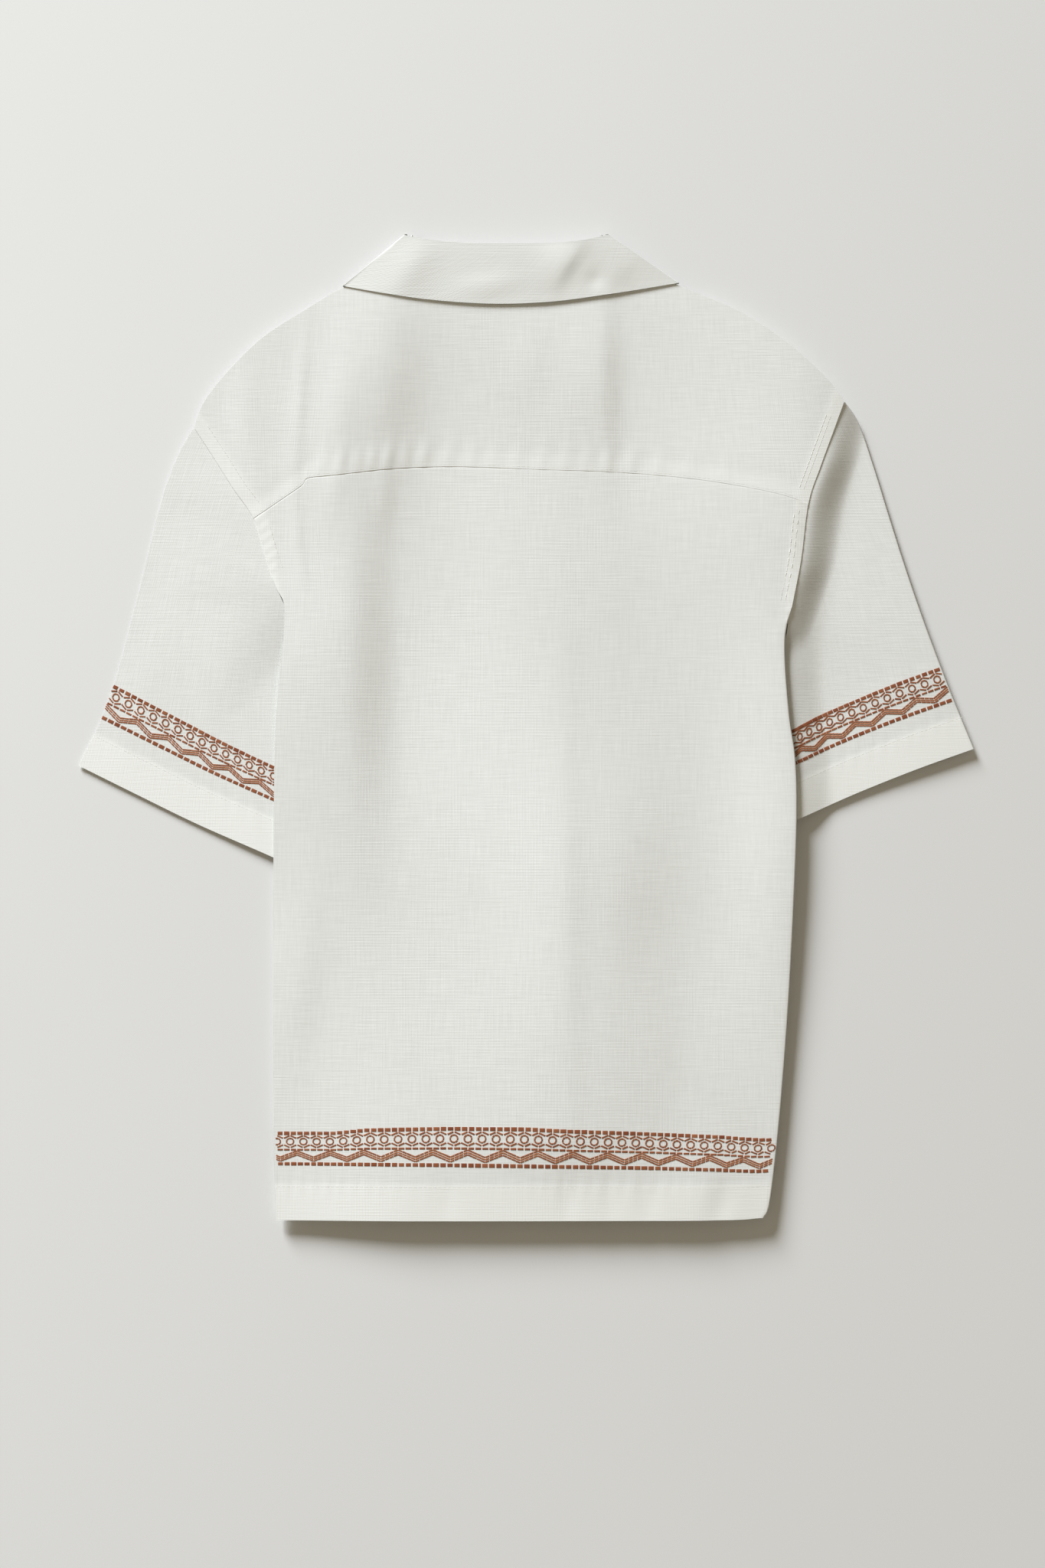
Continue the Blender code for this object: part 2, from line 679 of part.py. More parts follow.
def collar_section(roll, leaf, neck, turn, out):
    """One section: from the neck edge up the stand, round the roll and down the fall."""
    roll, leaf, neck = (np.array([*p, 0.0]) for p in (roll, leaf, neck))
    away = np.array([out * math.sin(turn), 0.0, math.cos(turn)])
    height = (COLLAR_BACK_Z + COLLAR_FRONT_Z) / 2
    height += (COLLAR_BACK_Z - COLLAR_FRONT_Z) / 2 * math.cos(turn)
    shift = np.array([out * COLLAR_TURN * math.sin(turn), 0.0, height])
    half = COLLAR_HALF + COLLAR_SIDE_ROOM * math.sin(turn)
    up = (roll - leaf) / np.linalg.norm(roll - leaf)
    roll = roll - up * half
    front_taper = COLLAR_FRONT_TAPER * max(-math.cos(turn), 0.0)
    leaf_taper = COLLAR_LEAF_DROP * max(math.cos(turn), 0.0)
    section = []
    for share in STAND_SHARES:
        section.append(roll + (neck - roll) * share - away * (half - front_taper * share))
    for angle in ROLL_BENDS:
        bend = math.radians(angle)
        section.append(roll + up * half * math.cos(bend) + away * half * math.sin(bend))
    for share in LEAF_SHARES:
        section.append(roll + (leaf - roll) * share + away * (half - leaf_taper * share))
    return [point + shift for point in section]


def collar_side(out):
    """The sections of one half of the collar's front, from its end to the side fold's start."""
    corner = 0 if out < 0 else -1
    inward = np.array([-out * COLLAR_SPREAD, 0.0])
    base_roll = np.array(COLLAR_ROLL[corner]) + inward
    base_leaf = np.array(COLLAR_LEAF[corner]) + inward
    base_neck = np.array(BACK_NECKLINE[corner]) + [-out * NECK_TURN[0], NECK_TURN[1]]
    sections = []
    for roll, leaf, share in COLLAR_FRONT[::-1]:
        neck = front_neck_point(out, share)
        points = [mirrored(p) if out > 0 else p for p in (roll, leaf)]
        sections.append(collar_section(*points, neck, math.pi, out))
    for degrees in COLLAR_TURNS:
        sections.append(collar_section(base_roll, base_leaf, base_neck, math.radians(degrees), out))
    return sections, (base_roll, base_leaf, base_neck)


def front_neck_point(out, share):
    """A point of the collar's neck edge, just inside the front neckline."""
    line = neckline_edge(LEFT_BODY if out < 0 else RIGHT_BODY)
    before, point, after = along(line, [share - NECK_STEP, share, share + NECK_STEP])
    run = (after - before) / np.linalg.norm(after - before)
    return point + np.array([out * run[1], -out * run[0]]) * NECK_EDGE


def mirrored(point):
    return (2 * NECK_X - point[0], point[1])


def collar(collection):
    left, left_base = collar_side(-1.0)
    right, right_base = collar_side(1.0)
    neck = [left_base[2], *[(x, y + NECK_EDGE) for x, y in BACK_NECKLINE[1:-1]], right_base[2]]
    rolls = even(smooth_line([left_base[0], *COLLAR_ROLL[1:-1], right_base[0]]), COLLAR_SECTIONS)
    leaves = even(smooth_line([left_base[1], *COLLAR_LEAF[1:-1], right_base[1]]), COLLAR_SECTIONS)
    necks = even(smooth_line(neck), COLLAR_SECTIONS)
    back = [collar_section(r, e, n, 0.0, 1.0) for r, e, n in zip(rolls, leaves, necks)]
    return cloth_piece("collar", [left + back + right[::-1]], collection)


def button_mesh():
    """A four-hole button, its face down at z = 0."""
    disc = bmesh.new()
    bmesh.ops.create_cone(
        disc,
        cap_ends=True,
        segments=BUTTON_SIDES,
        radius1=BUTTON_RADIUS * MM,
        radius2=BUTTON_RADIUS * MM,
        depth=BUTTON_HEIGHT * MM,
    )
    bmesh.ops.translate(disc, verts=disc.verts, vec=(0.0, 0.0, BUTTON_HEIGHT / 2 * MM))
    data = bpy.data.meshes.new("button_blank")
    disc.to_mesh(data)
    disc.free()
    return data


def hole_cutters(collection):
    """Four slim drills in one object."""
    drills = bmesh.new()
    for x, y in ((-1, -1), (-1, 1), (1, -1), (1, 1)):
        made = bmesh.ops.create_cone(
            drills,
            cap_ends=True,
            segments=BUTTON_HOLE_SIDES,
            radius1=BUTTON_HOLE * MM,
            radius2=BUTTON_HOLE * MM,
            depth=3 * BUTTON_HEIGHT * MM,
        )
        place = (x * BUTTON_HOLE_SPREAD * MM, y * BUTTON_HOLE_SPREAD * MM, BUTTON_HEIGHT / 2 * MM)
        bmesh.ops.translate(drills, verts=made["verts"], vec=place)
    data = bpy.data.meshes.new("button_drills")
    drills.to_mesh(data)
    drills.free()
    cutter = bpy.data.objects.new("button_drills", data)
    cutter.hide_render = True
    cutter.display_type = "WIRE"
    collection.objects.link(cutter)
    return cutter


def buttons(collection, cutters):
    """Six buttons down the placket, which share one drilled mesh."""
    blank = bpy.data.objects.new("button_blank", button_mesh())
    collection.objects.link(blank)
    edge = blank.modifiers.new("soft rim", "BEVEL")
    edge.width = BUTTON_BEVEL * MM
    edge.segments = 1
    edge.limit_method = "ANGLE"
    holes = blank.modifiers.new("holes", "BOOLEAN")
    holes.operation = "DIFFERENCE"
    holes.object = hole_cutters(cutters)
    graph = bpy.context.evaluated_depsgraph_get()
    drilled = bpy.data.meshes.new_from_object(blank.evaluated_get(graph))
    bpy.data.objects.remove(blank)
    drilled.materials.append(finish("button_shell", SHELL_COLOUR, SHELL_ROUGHNESS))
    for number in range(BUTTON_COUNT):
        button = bpy.data.objects.new(f"button_{number + 1}", drilled)
        y = BUTTON_TOP_Y - BUTTON_PITCH * number
        button.location = (PLACKET_X * MM, y * MM, float(lift(PLACKET_X, y)) * MM)
        collection.objects.link(button)


def main():
    for old in list(bpy.data.objects):
        bpy.data.objects.remove(old)
    shirt = bpy.data.collections.new("shirt")
    cutters = bpy.data.collections.new("cutters")
    for collection in (shirt, cutters):
        bpy.context.scene.collection.children.link(collection)
    back_panel(shirt)
    yoke_panel(shirt)
    front_panel("left_front", LEFT_BODY, LEFT_SIDE[0][1], PLACKET_ROOM, shirt)
    front_panel("right_front", RIGHT_BODY, RIGHT_SIDE[0][1], PLACKET_ROOM + LAP, shirt)
    sleeve("left_sleeve", LEFT_BODY, LEFT_OUTER, LEFT_CUFF, shirt)
    sleeve("right_sleeve", RIGHT_BODY, RIGHT_OUTER, RIGHT_CUFF, shirt)
    collar(shirt)
    buttons(shirt, cutters)


main()
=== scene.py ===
# %% [markdown]
# # A short-sleeve linen shirt, laid flat with its back up
#
# The shirt lies face down on a pale floor. Its two sides are tucked under, so that the back and the
# yoke show, with a camp collar at the top and a stitched border round the hem and both sleeves.
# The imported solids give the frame. Every piece of cloth made here is a thin sheet that takes the
# place of its solid, with the same outline and with heights of its own.

# %% The frame
import math

import bmesh
import bpy
import numpy as np
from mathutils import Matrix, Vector


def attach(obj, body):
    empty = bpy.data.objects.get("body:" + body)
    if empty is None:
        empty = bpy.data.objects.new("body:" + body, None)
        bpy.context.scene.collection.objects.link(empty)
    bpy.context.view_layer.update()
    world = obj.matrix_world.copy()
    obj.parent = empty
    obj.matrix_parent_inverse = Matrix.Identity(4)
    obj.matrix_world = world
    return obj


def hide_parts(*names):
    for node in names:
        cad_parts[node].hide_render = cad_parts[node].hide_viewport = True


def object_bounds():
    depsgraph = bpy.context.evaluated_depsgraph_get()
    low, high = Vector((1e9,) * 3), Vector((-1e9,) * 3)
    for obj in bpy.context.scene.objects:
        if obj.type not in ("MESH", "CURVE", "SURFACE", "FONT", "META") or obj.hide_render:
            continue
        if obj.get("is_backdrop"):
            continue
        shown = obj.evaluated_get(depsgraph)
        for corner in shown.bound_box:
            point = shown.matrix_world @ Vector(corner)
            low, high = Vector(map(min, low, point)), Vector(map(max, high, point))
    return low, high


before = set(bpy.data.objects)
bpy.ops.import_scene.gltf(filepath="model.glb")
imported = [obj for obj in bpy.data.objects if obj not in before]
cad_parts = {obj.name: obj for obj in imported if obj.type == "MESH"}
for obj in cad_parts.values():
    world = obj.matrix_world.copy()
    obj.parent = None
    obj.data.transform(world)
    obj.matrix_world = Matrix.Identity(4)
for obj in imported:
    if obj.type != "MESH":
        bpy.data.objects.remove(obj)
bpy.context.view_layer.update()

MM = 0.001

# %% [markdown]
# ## Camera, light and floor
#
# The photograph looks straight down, so the camera hangs over the shirt and its lens is worked out
# from the stretch of floor that the picture covers. One big soft lamp stands low at the upper left:
# low, because the shadows under the hem are long, and big, because their edges are soft. The rest of
# the room is a dim warm world light, which is what tints the shadows.

# %% Camera
VIEW_CENTRE = (-0.0026, -0.0423)
VIEW_LENGTH = 1.1878  # of floor, up the picture
CAMERA_HEIGHT = 2.5
FILM = 36.0

camera_data = bpy.data.cameras.new("overhead_camera")
camera_data.sensor_width = FILM
camera_data.lens = FILM * CAMERA_HEIGHT / VIEW_LENGTH
camera = bpy.data.objects.new("overhead_camera", camera_data)
camera.location = (*VIEW_CENTRE, CAMERA_HEIGHT)
bpy.context.scene.collection.objects.link(camera)
bpy.context.scene.camera = camera
print(f"camera lens {camera_data.lens:.1f} mm")


# %% Colours
def linear(hex_colour):
    """An sRGB hex colour as linear red, green, blue and alpha."""
    shares = [int(hex_colour[k : k + 2], 16) / 255 for k in (1, 3, 5)]
    return (*[s / 12.92 if s <= 0.04045 else ((s + 0.055) / 1.055) ** 2.4 for s in shares], 1.0)


# %% Soft key and warm room light
KEY_DISTANCE = 9.1
KEY_SIZE = 3.5
KEY_HEIGHT_DEGREES = 20.5
KEY_FROM = (-0.5, 0.866)  # across the floor, towards the lamp
KEY_AIM = (-2.44, -1.42, 0.0)  # beside the shirt, so that its right side gets less light
KEY_SPREAD_DEGREES = 100.0
KEY_POWER = 630.0
KEY_COLOUR = "#F2F7FD"
ROOM_COLOUR = "#FFF3D8"
ROOM_STRENGTH = 0.26

key_data = bpy.data.lights.new("soft_key", "AREA")
key_data.shape = "DISK"
key_data.size = KEY_SIZE
key_data.energy = KEY_POWER
key_data.color = linear(KEY_COLOUR)[:3]
key_data.spread = math.radians(KEY_SPREAD_DEGREES)
key = bpy.data.objects.new("soft_key", key_data)
key_rise = math.radians(KEY_HEIGHT_DEGREES)
key.location = Vector((*[c * math.cos(key_rise) for c in KEY_FROM], math.sin(key_rise))) * KEY_DISTANCE
key.rotation_mode = "QUATERNION"
key.rotation_quaternion = (key.location - Vector(KEY_AIM)).to_track_quat("Z", "Y")
bpy.context.scene.collection.objects.link(key)

room = bpy.data.worlds.new("studio_room")
room.use_nodes = True
room.node_tree.nodes["Background"].inputs["Color"].default_value = linear(ROOM_COLOUR)
room.node_tree.nodes["Background"].inputs["Strength"].default_value = ROOM_STRENGTH
bpy.context.scene.world = room
bpy.context.scene.view_settings.view_transform = "Standard"


# %% [markdown]
# ## Materials
#
# Linen is a plain weave of uneven yarns: thick places, called slubs, run along both yarn
# directions. The weave is drawn on each sheet's own UV map, which is the cut of the cloth in metres,
# so it follows the cloth round its folds. Real linen of this weight has a yarn about every 0.5 mm,
# which is too fine to show here, so the weave is drawn about twice as coarse.

# %% One node at a time
def add_node(material, kind, settings=None, links=None):
    """Adds a node with its settings, values and incoming links."""
    tree = material.node_tree
    node = tree.nodes.new(kind)
    for name, value in (settings or {}).items():
        if isinstance(name, int) or name in node.inputs:
            node.inputs[name].default_value = value
        else:
            setattr(node, name, value)
    for name, source in (links or {}).items():
        tree.links.new(source, node.inputs[name])
    return node


def new_material(name, roughness, specular):
    """A material with an empty Principled shader."""
    material = bpy.data.materials.new(name)
    material.use_nodes = True
    shader = material.node_tree.nodes["Principled BSDF"]
    shader.inputs["Roughness"].default_value = roughness
    shader.inputs["Specular IOR Level"].default_value = specular
    return material, shader


# %% Woven linen, washed and pressed
YARN_PITCH = 1.15 * MM
WAVE_PERIOD = math.pi / 10  # of Blender's wave texture at scale 1
WEAVE_DEPTH = 0.16 * MM
SLUB_LENGTH = 26.0 * MM
SLUB_WIDTH = 1.3 * MM
SLUB_HEIGHT = 1.6  # against the weave's own
SLUB_RANGE = {"From Min": 0.55, "From Max": 1.45}
LINEN_TONES = ("#E2E2DE", "#F2F2EE")  # of thin and of thick yarns
LINEN_DOUBLE = "#F4F4EF"  # two layers look whiter than one
LINEN_FOLD_SHADE = "#7C7C77"  # painted shade, darkening the steep walls of the folds so that they don't shine in the low lamp


def linen_material():
    """Off-white plain-weave linen: matt, with slubs, lighter where double, and with painted shade on its
    steep folds.
    """
    linen, shader = new_material("linen_plain_weave", roughness=0.93, specular=0.2)
    uv = add_node(linen, "ShaderNodeUVMap", {"uv_map": "cut"}).outputs["UV"]
    threads = {"Scale": WAVE_PERIOD / YARN_PITCH, "Distortion": 0.9, "Detail": 1.0, "Detail Scale": 0.35}
    waves, slubs = [], []
    for direction, width, length in (("X", SLUB_WIDTH, SLUB_LENGTH), ("Y", SLUB_LENGTH, SLUB_WIDTH)):
        woven = {"bands_direction": direction, **threads}
        wave = add_node(linen, "ShaderNodeTexWave", woven, {"Vector": uv})
        size = (1 / width, 1 / length, 1.0)
        stretched = add_node(linen, "ShaderNodeMapping", {"Scale": size}, {"Vector": uv})
        slub = add_node(linen, "ShaderNodeTexNoise", {"Scale": 1.0, "Detail": 3.0, "Roughness": 0.6},
                        {"Vector": stretched.outputs["Vector"]})
        waves.append(wave.outputs["Fac"])
        slubs.append(slub.outputs["Fac"])
    weave = add_node(linen, "ShaderNodeMath", {"operation": "MULTIPLY"}, dict(enumerate(waves)))
    yarn = add_node(linen, "ShaderNodeMath", {"operation": "ADD"}, dict(enumerate(slubs)))
    height = add_node(linen, "ShaderNodeMath", {"operation": "MULTIPLY_ADD", 1: SLUB_HEIGHT},
                      {0: yarn.outputs[0], 2: weave.outputs[0]})
    bump = add_node(linen, "ShaderNodeBump", {"Strength": 0.32, "Distance": WEAVE_DEPTH},
                    {"Height": height.outputs[0]})
    share = add_node(linen, "ShaderNodeMapRange", SLUB_RANGE, {"Value": yarn.outputs[0]})
    thin, thick = (linear(tone) for tone in LINEN_TONES)
    # a Mix node has its colours at inputs 6 and 7 and at output 2
    colour = add_node(linen, "ShaderNodeMix", {"data_type": "RGBA", 6: thin, 7: thick},
                      {0: share.outputs[0]})
    # doubled is the whiter double cloth; folded carries painted shade onto the steep walls of folds
    for attribute, tone in (("doubled", LINEN_DOUBLE), ("folded", LINEN_FOLD_SHADE)):
        there = add_node(linen, "ShaderNodeAttribute", {"attribute_name": attribute})
        colour = add_node(linen, "ShaderNodeMix", {"data_type": "RGBA", 7: linear(tone)},
                          {0: there.outputs["Fac"], 6: colour.outputs[2]})
    linen.node_tree.links.new(colour.outputs[2], shader.inputs["Base Color"])
    linen.node_tree.links.new(bump.outputs["Normal"], shader.inputs["Normal"])
    shader.inputs["Sheen Weight"].default_value = 0.08
    shader.inputs["Sheen Roughness"].default_value = 0.6
    return linen


LINEN = linen_material()

# %% Embroidery cotton, stranded and dyed
STRAND = 0.5 * MM
STRAND_DEPTH = 0.15 * MM
TERRACOTTA = ("#86482D", "#B2724C")


def embroidery_material():
    """Terracotta cotton in fine strands, each stitch lighter or darker by its own tone attribute."""
    cotton, shader = new_material("embroidery_cotton_dyed", roughness=0.7, specular=0.3)
    tone = add_node(cotton, "ShaderNodeAttribute", {"attribute_name": "tone"})
    place = add_node(cotton, "ShaderNodeTexCoord")
    strands = add_node(cotton, "ShaderNodeTexNoise", {"Scale": 1 / STRAND, "Detail": 2.0},
                       {"Vector": place.outputs["Object"]})
    dark, light = (linear(dye) for dye in TERRACOTTA)
    shade = add_node(cotton, "ShaderNodeMix", {"data_type": "RGBA", 6: dark, 7: light},
                     {0: tone.outputs["Fac"]})
    bump = add_node(cotton, "ShaderNodeBump", {"Strength": 0.4, "Distance": STRAND_DEPTH},
                    {"Height": strands.outputs["Fac"]})
    cotton.node_tree.links.new(shade.outputs[2], shader.inputs["Base Color"])
    cotton.node_tree.links.new(bump.outputs["Normal"], shader.inputs["Normal"])
    return cotton


EMBROIDERY = embroidery_material()


# %% Finishes that waver between two close tones
def mottled_material(name, roughness, specular, spot, tones, noise=None):
    """A finish with soft spots of one size, in metres, between two tones."""
    finish, shader = new_material(name, roughness, specular)
    place = add_node(finish, "ShaderNodeTexCoord")
    spots = add_node(finish, "ShaderNodeTexNoise", {"Scale": 1 / spot, "Detail": 2.0, **(noise or {})},
                     {"Vector": place.outputs["Object"]})
    dark, light = (linear(tone) for tone in tones)
    shade = add_node(finish, "ShaderNodeMix", {"data_type": "RGBA", 6: dark, 7: light},
                     {0: spots.outputs["Fac"]})
    finish.node_tree.links.new(shade.outputs[2], shader.inputs["Base Color"])
    return finish, shader


# Sewing cotton, spun and bleached: off-white, twisted, a little shinier than the linen
SEWING, _ = mottled_material("sewing_cotton_bleached", 0.6, 0.3, 0.4 * MM, ("#DDDCD5", "#E9E9E3"))

# Mother-of-pearl for the buttons, turned and polished: creamy, cloudy, with a low gloss
CREAM = ("#D9D2C0", "#F4F0E6")
CLOUDS = {"Detail": 4.0, "Distortion": 1.2}
SHELL, shell = mottled_material("shell_turned_polished", 0.28, 0.5, 3.0 * MM, CREAM, CLOUDS)
shell.inputs["Coat Weight"].default_value = 0.3

# Matt off-white floor paint, with the faint unevenness that a roller leaves
FLOOR_PAINT, _ = mottled_material("floor_paint_matt", 0.9, 0.2, 1 / 3, ("#E6E5E3", "#E9E8E6"))

# %% Floor
FLOOR_SIDE = 30.0

floor_mesh = bmesh.new()
bmesh.ops.create_grid(floor_mesh, x_segments=2, y_segments=2, size=FLOOR_SIDE / 2)
floor_data = bpy.data.meshes.new("floor")
floor_mesh.to_mesh(floor_data)
floor_mesh.free()
floor = bpy.data.objects.new("floor", floor_data)
floor_data.materials.append(FLOOR_PAINT)
bpy.context.scene.collection.objects.link(floor)
floor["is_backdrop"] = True
print("materials:", ", ".join(m.name for m in bpy.data.materials if m.name.count("_") > 1))

# %% [markdown]
# ## The outline of the pieces
#
# A flat shirt is drawn as a pattern cutter draws it: a few points along each edge, joined by smooth
# curves. The solids have the same points, in millimetres, so their outlines and the sheets' agree.
# X runs across the shirt and Y up to the collar.

# %% Edge tables
LEFT_SIDE = [
    (-188.5, -371.8), (-190.3, -330), (-190.8, -270), (-190.8, -200), (-190.9, -130),
    (-190.7, -70), (-189.6, -10), (-186.8, 35), (-182.1, 87.6), (-189.2, 107),
    (-197, 131), (-206, 159), (-221, 181), (-236, 204.5), (-251, 227.4),
]
RIGHT_SIDE = [
    (179.6, -369.8), (183.6, -361.5), (188, -330), (193, -280), (198.2, -210), (201.8, -140),
    (204.3, -70), (203.4, -25), (198.5, 12), (195.5, 64.4), (201.3, 95),
    (207.6, 128), (213, 170), (222, 197), (232, 224), (240.5, 247.1),
]
LEFT_FOLD_Y = 87.6  # where the armhole seam turns under the body
RIGHT_FOLD_Y = 64.4
LEFT_ARMPIT = (-116.0, 24.0)
RIGHT_ARMPIT = (130.0, 14.0)
LEFT_SEAM_END = (-110.0, -371.8)
RIGHT_SEAM_END = (106.0, -371.8)
HEM = [(-188.5, -371.8), (-60, -372), (60, -371.8), (150, -371.4), (179.6, -369.8)]
YOKE_SEAM = [
    (-206, 159), (-187, 171.9), (-170.5, 183.2), (-167.6, 186.2), (-164.6, 189.6), (-143.3, 191.9),
    (-97, 197), (-50.5, 198.2), (7.5, 196), (65.5, 194), (110, 190.5), (147, 185.6),
    (187.3, 177.8), (213, 170),
]
LEFT_SHOULDER = [
    (-251, 227.4), (-243, 247), (-224.5, 270.3), (-198.4, 295.5), (-166.5, 316),
    (-141.5, 330.8), (-118, 339.5), (-91, 349),
]
RIGHT_SHOULDER = [
    (65, 349), (93, 342), (116.6, 333.6), (135.1, 326), (158.3, 316.1),
    (181.5, 302.2), (204.7, 284.8), (227.9, 262.7), (240.5, 247.1),
]
BACK_NECKLINE = [(-91, 349), (-60, 340), (-13, 336.5), (34, 340), (65, 349)]
FORWARD_SEAM = 28.0  # how far the yoke reaches down the front
NECK_X = -12.0  # the middle of the neck
FRONT_NECKLINE = [(-76, 298), (-58, 277), (-34, 265.5), (-12, 262), (10, 265.5), (34, 277)]
PLACKET_X = -4.0  # the line of the buttons
PLACKET_HALF = 15.0
PLACKET_ROOM = 2.75  # how much the buttons lift a front
LEFT_OUTER = [
    (-251, 227.4), (-262.2, 208), (-272.5, 182), (-281.5, 150), (-290, 115),
    (-299, 80), (-308.5, 44), (-320.2, 9.3), (-338.7, -28.4),
]
LEFT_CUFF = [(-338.7, -28.4), (-294.1, -50.5), (-247.7, -73.1), (-190.8, -98), (-141, -121)]
RIGHT_OUTER = [
    (240.5, 247.1), (252, 230), (263.2, 197.8), (274.3, 161.8), (285.8, 125.3),
    (297.5, 90.5), (309.1, 58.6), (322.5, 23.8), (338.7, -15.7),
]
RIGHT_CUFF = [(338.7, -15.7), (296, -31), (251, -49), (205.3, -69), (149, -92)]


# %% Curves and grids of points
def ease(low, high, value):
    """Rises softly from 0 at low to 1 at high."""
    t = np.clip((np.asarray(value, float) - low) / (high - low), 0.0, 1.0)
    return t * t * (3.0 - 2.0 * t)


def smooth_line(points, steps=10):
    """Close points along a smooth curve through the given ones."""
    p = np.array(points, float)
    p = np.vstack([2 * p[0] - p[1], p, 2 * p[-1] - p[-2]])
    line = []
    for a, b, c, d in zip(p, p[1:], p[2:], p[3:]):
        for t in np.linspace(0.0, 1.0, steps, endpoint=False):
            square, cube = t * t, t * t * t
            bend = (2 * a - 5 * b + 4 * c - d) * square + (3 * b - a - 3 * c + d) * cube
            line.append(0.5 * (2 * b + (c - a) * t + bend))
    line.append(p[-2])
    return np.array(line)


def along(line, fractions):
    """The points at the given fractions of a line's length."""
    steps = np.linalg.norm(np.diff(line, axis=0), axis=1)
    run = np.concatenate([[0.0], np.cumsum(steps)]) / steps.sum()
    return np.column_stack([np.interp(fractions, run, line[:, k]) for k in range(2)])


def even(line, count):
    return along(line, np.linspace(0.0, 1.0, count))


def shares(values):
    """How far along their whole run rising or falling values lie, from 0 to 1."""
    values = np.asarray(values, float)
    return (values - values[0]) / (values[-1] - values[0])


def patch(bottom, top, left, right, v):
    """A grid of points between four edges; its rows lie at the shares v of the way up."""
    u = np.linspace(0.0, 1.0, len(bottom))[None, :, None]
    v = np.asarray(v)[:, None, None]
    edges = (1 - v) * bottom[None] + v * top[None] + (1 - u) * left[:, None] + u * right[:, None]
    low = (1 - u) * bottom[0] + u * bottom[-1]
    high = (1 - u) * top[0] + u * top[-1]
    return edges - (1 - v) * low - v * high


def steps_between(*stops):
    """Values from the first stop on: each further stop is (value, about how far apart)."""
    values = [np.array([stops[0]])]
    for end, pitch in stops[1:]:
        start = values[-1][-1]
        count = max(round(abs(end - start) / pitch), 1)
        values.append(np.linspace(start, end, count + 1)[1:])
    return np.concatenate(values)


# %% The two sides of the body
BACK_FOLD = 4.0  # in from the edge, where the layer turned under lies flat
FRONT_FOLD = 2.0  # the same for a front, in from its own fold
LEAST_TUCK = 2.0
TURN_ZONE = 27.0  # over which the side fold opens out above the tuck


class Side:
    """One side of the body: its edge, its tuck and the way out of the body."""

    def __init__(self, side, fold_y, armpit, seam_end, out, cuff, outer):
        self.edge = smooth_line(side)
        self.fold_y, self.out = fold_y, out
        self.tuck = np.array([self.point(fold_y), armpit, seam_end])[::-1]
        self.cuff, self.outer = smooth_line(cuff), smooth_line(outer)
        self.corners = (np.array(armpit), np.array(cuff[-1]), np.array(cuff[0]))

    def point(self, y, shift=0.0):
        return np.array([np.interp(y, self.edge[:, 1], self.edge[:, 0]) + shift, y])

    def inside(self, x, y):
        """How far a point lies in from the edge."""
        return self.out * (np.interp(y, self.edge[:, 1], self.edge[:, 0]) - x)

    def tuck_width(self, y):
        seam = np.interp(y, self.tuck[:, 1], self.tuck[:, 0])
        edge = np.interp(y, self.edge[:, 1], self.edge[:, 0])
        return np.maximum(self.out * (edge - seam) - BACK_FOLD, LEAST_TUCK)

    def off_sleeve(self, x, y):
        """How far a point lies beyond the sleeve's part under the body."""
        armpit, corner, outer = self.corners
        stretches = ((self.point(self.fold_y), armpit), (armpit, corner), (corner, outer))
        gaps = []
        for start, end in stretches:
            run = (end - start) / np.linalg.norm(end - start)
            gaps.append(self.out * ((x - start[0]) * run[1] - (y - start[1]) * run[0]))
        return np.maximum.reduce(gaps)


LEFT = Side(LEFT_SIDE, LEFT_FOLD_Y, LEFT_ARMPIT, LEFT_SEAM_END, -1.0, LEFT_CUFF, LEFT_OUTER)
RIGHT = Side(RIGHT_SIDE, RIGHT_FOLD_Y, RIGHT_ARMPIT, RIGHT_SEAM_END, 1.0, RIGHT_CUFF, RIGHT_OUTER)
SEAM = smooth_line(YOKE_SEAM)
HEM_LINE = smooth_line(HEM)
seam_length = np.linalg.norm(np.diff(SEAM, axis=0), axis=1).sum()
print(f"hem {HEM[-1][0] - HEM[0][0]:.0f} mm wide, yoke seam {seam_length:.0f} mm long")

# %% [markdown]
# ## How high the cloth lies
#
# Nothing holds the shirt up but its own layers: the hidden part of each sleeve, the two layers of
# each tucked side, the placket with its buttons, and the collar's front leaves. The hidden layers
# get their heights from that stack. The back is one springy sheet over all of them, so it bridges
# their edges, and its soft ridges are written down one by one: where the crest is, how long it is,
# how far it takes to rise on its left and to fall on its right, how high it stands and which way
# it runs. A simulation would settle these somewhere else, so they are listed here. The solids'
# layers are thicker than cloth, so these heights aren't the solids' own.

# %% The hidden layers
CLOTH = 0.5  # a thin linen
FLOOR_CLEAR = 0.3  # room for the stitches on the underside
LAYER_STEP = 0.62  # from one layer to the next
SLEEVE_STACK = 1.7  # a sleeve's two layers under the body
COLLAR_LIFT = 1.65
OFF_SLEEVE = (4.0, 50.0)  # how far beyond a sleeve the cloth over it comes down
OFF_TUCK = (4.0, 34.0)
OFF_PLACKET = (18.0, 48.0)  # from its middle
LEAF_RISE = (175.0, 230.0)  # up the shirt, onto the collar's leaves
LEAF_SIDES = (135.0, 192.0)  # out from the neck, down from them


def lift(x, y):
    """How high the lowest layer lies: over the sleeves, and over the collar's leaves."""
    x, y = np.asarray(x, float), np.asarray(y, float)
    over_sleeves = sum(1 - ease(*OFF_SLEEVE, side.off_sleeve(x, y)) for side in (LEFT, RIGHT))
    over_leaves = ease(*LEAF_RISE, y) * (1 - ease(*LEAF_SIDES, np.abs(x - NECK_X)))
    return SLEEVE_STACK * over_sleeves + COLLAR_LIFT * over_leaves


def tucked(x, y):
    """1 over the tucked sides, 0 well away from them."""
    total = 0.0
    for side in (LEFT, RIGHT):
        width = side.tuck_width(y)
        across = 1 - ease(width + OFF_TUCK[0], width + OFF_TUCK[1], side.inside(x, y))
        total = total + across * (1 - ease(side.fold_y, side.fold_y + TURN_ZONE, y))
    return total


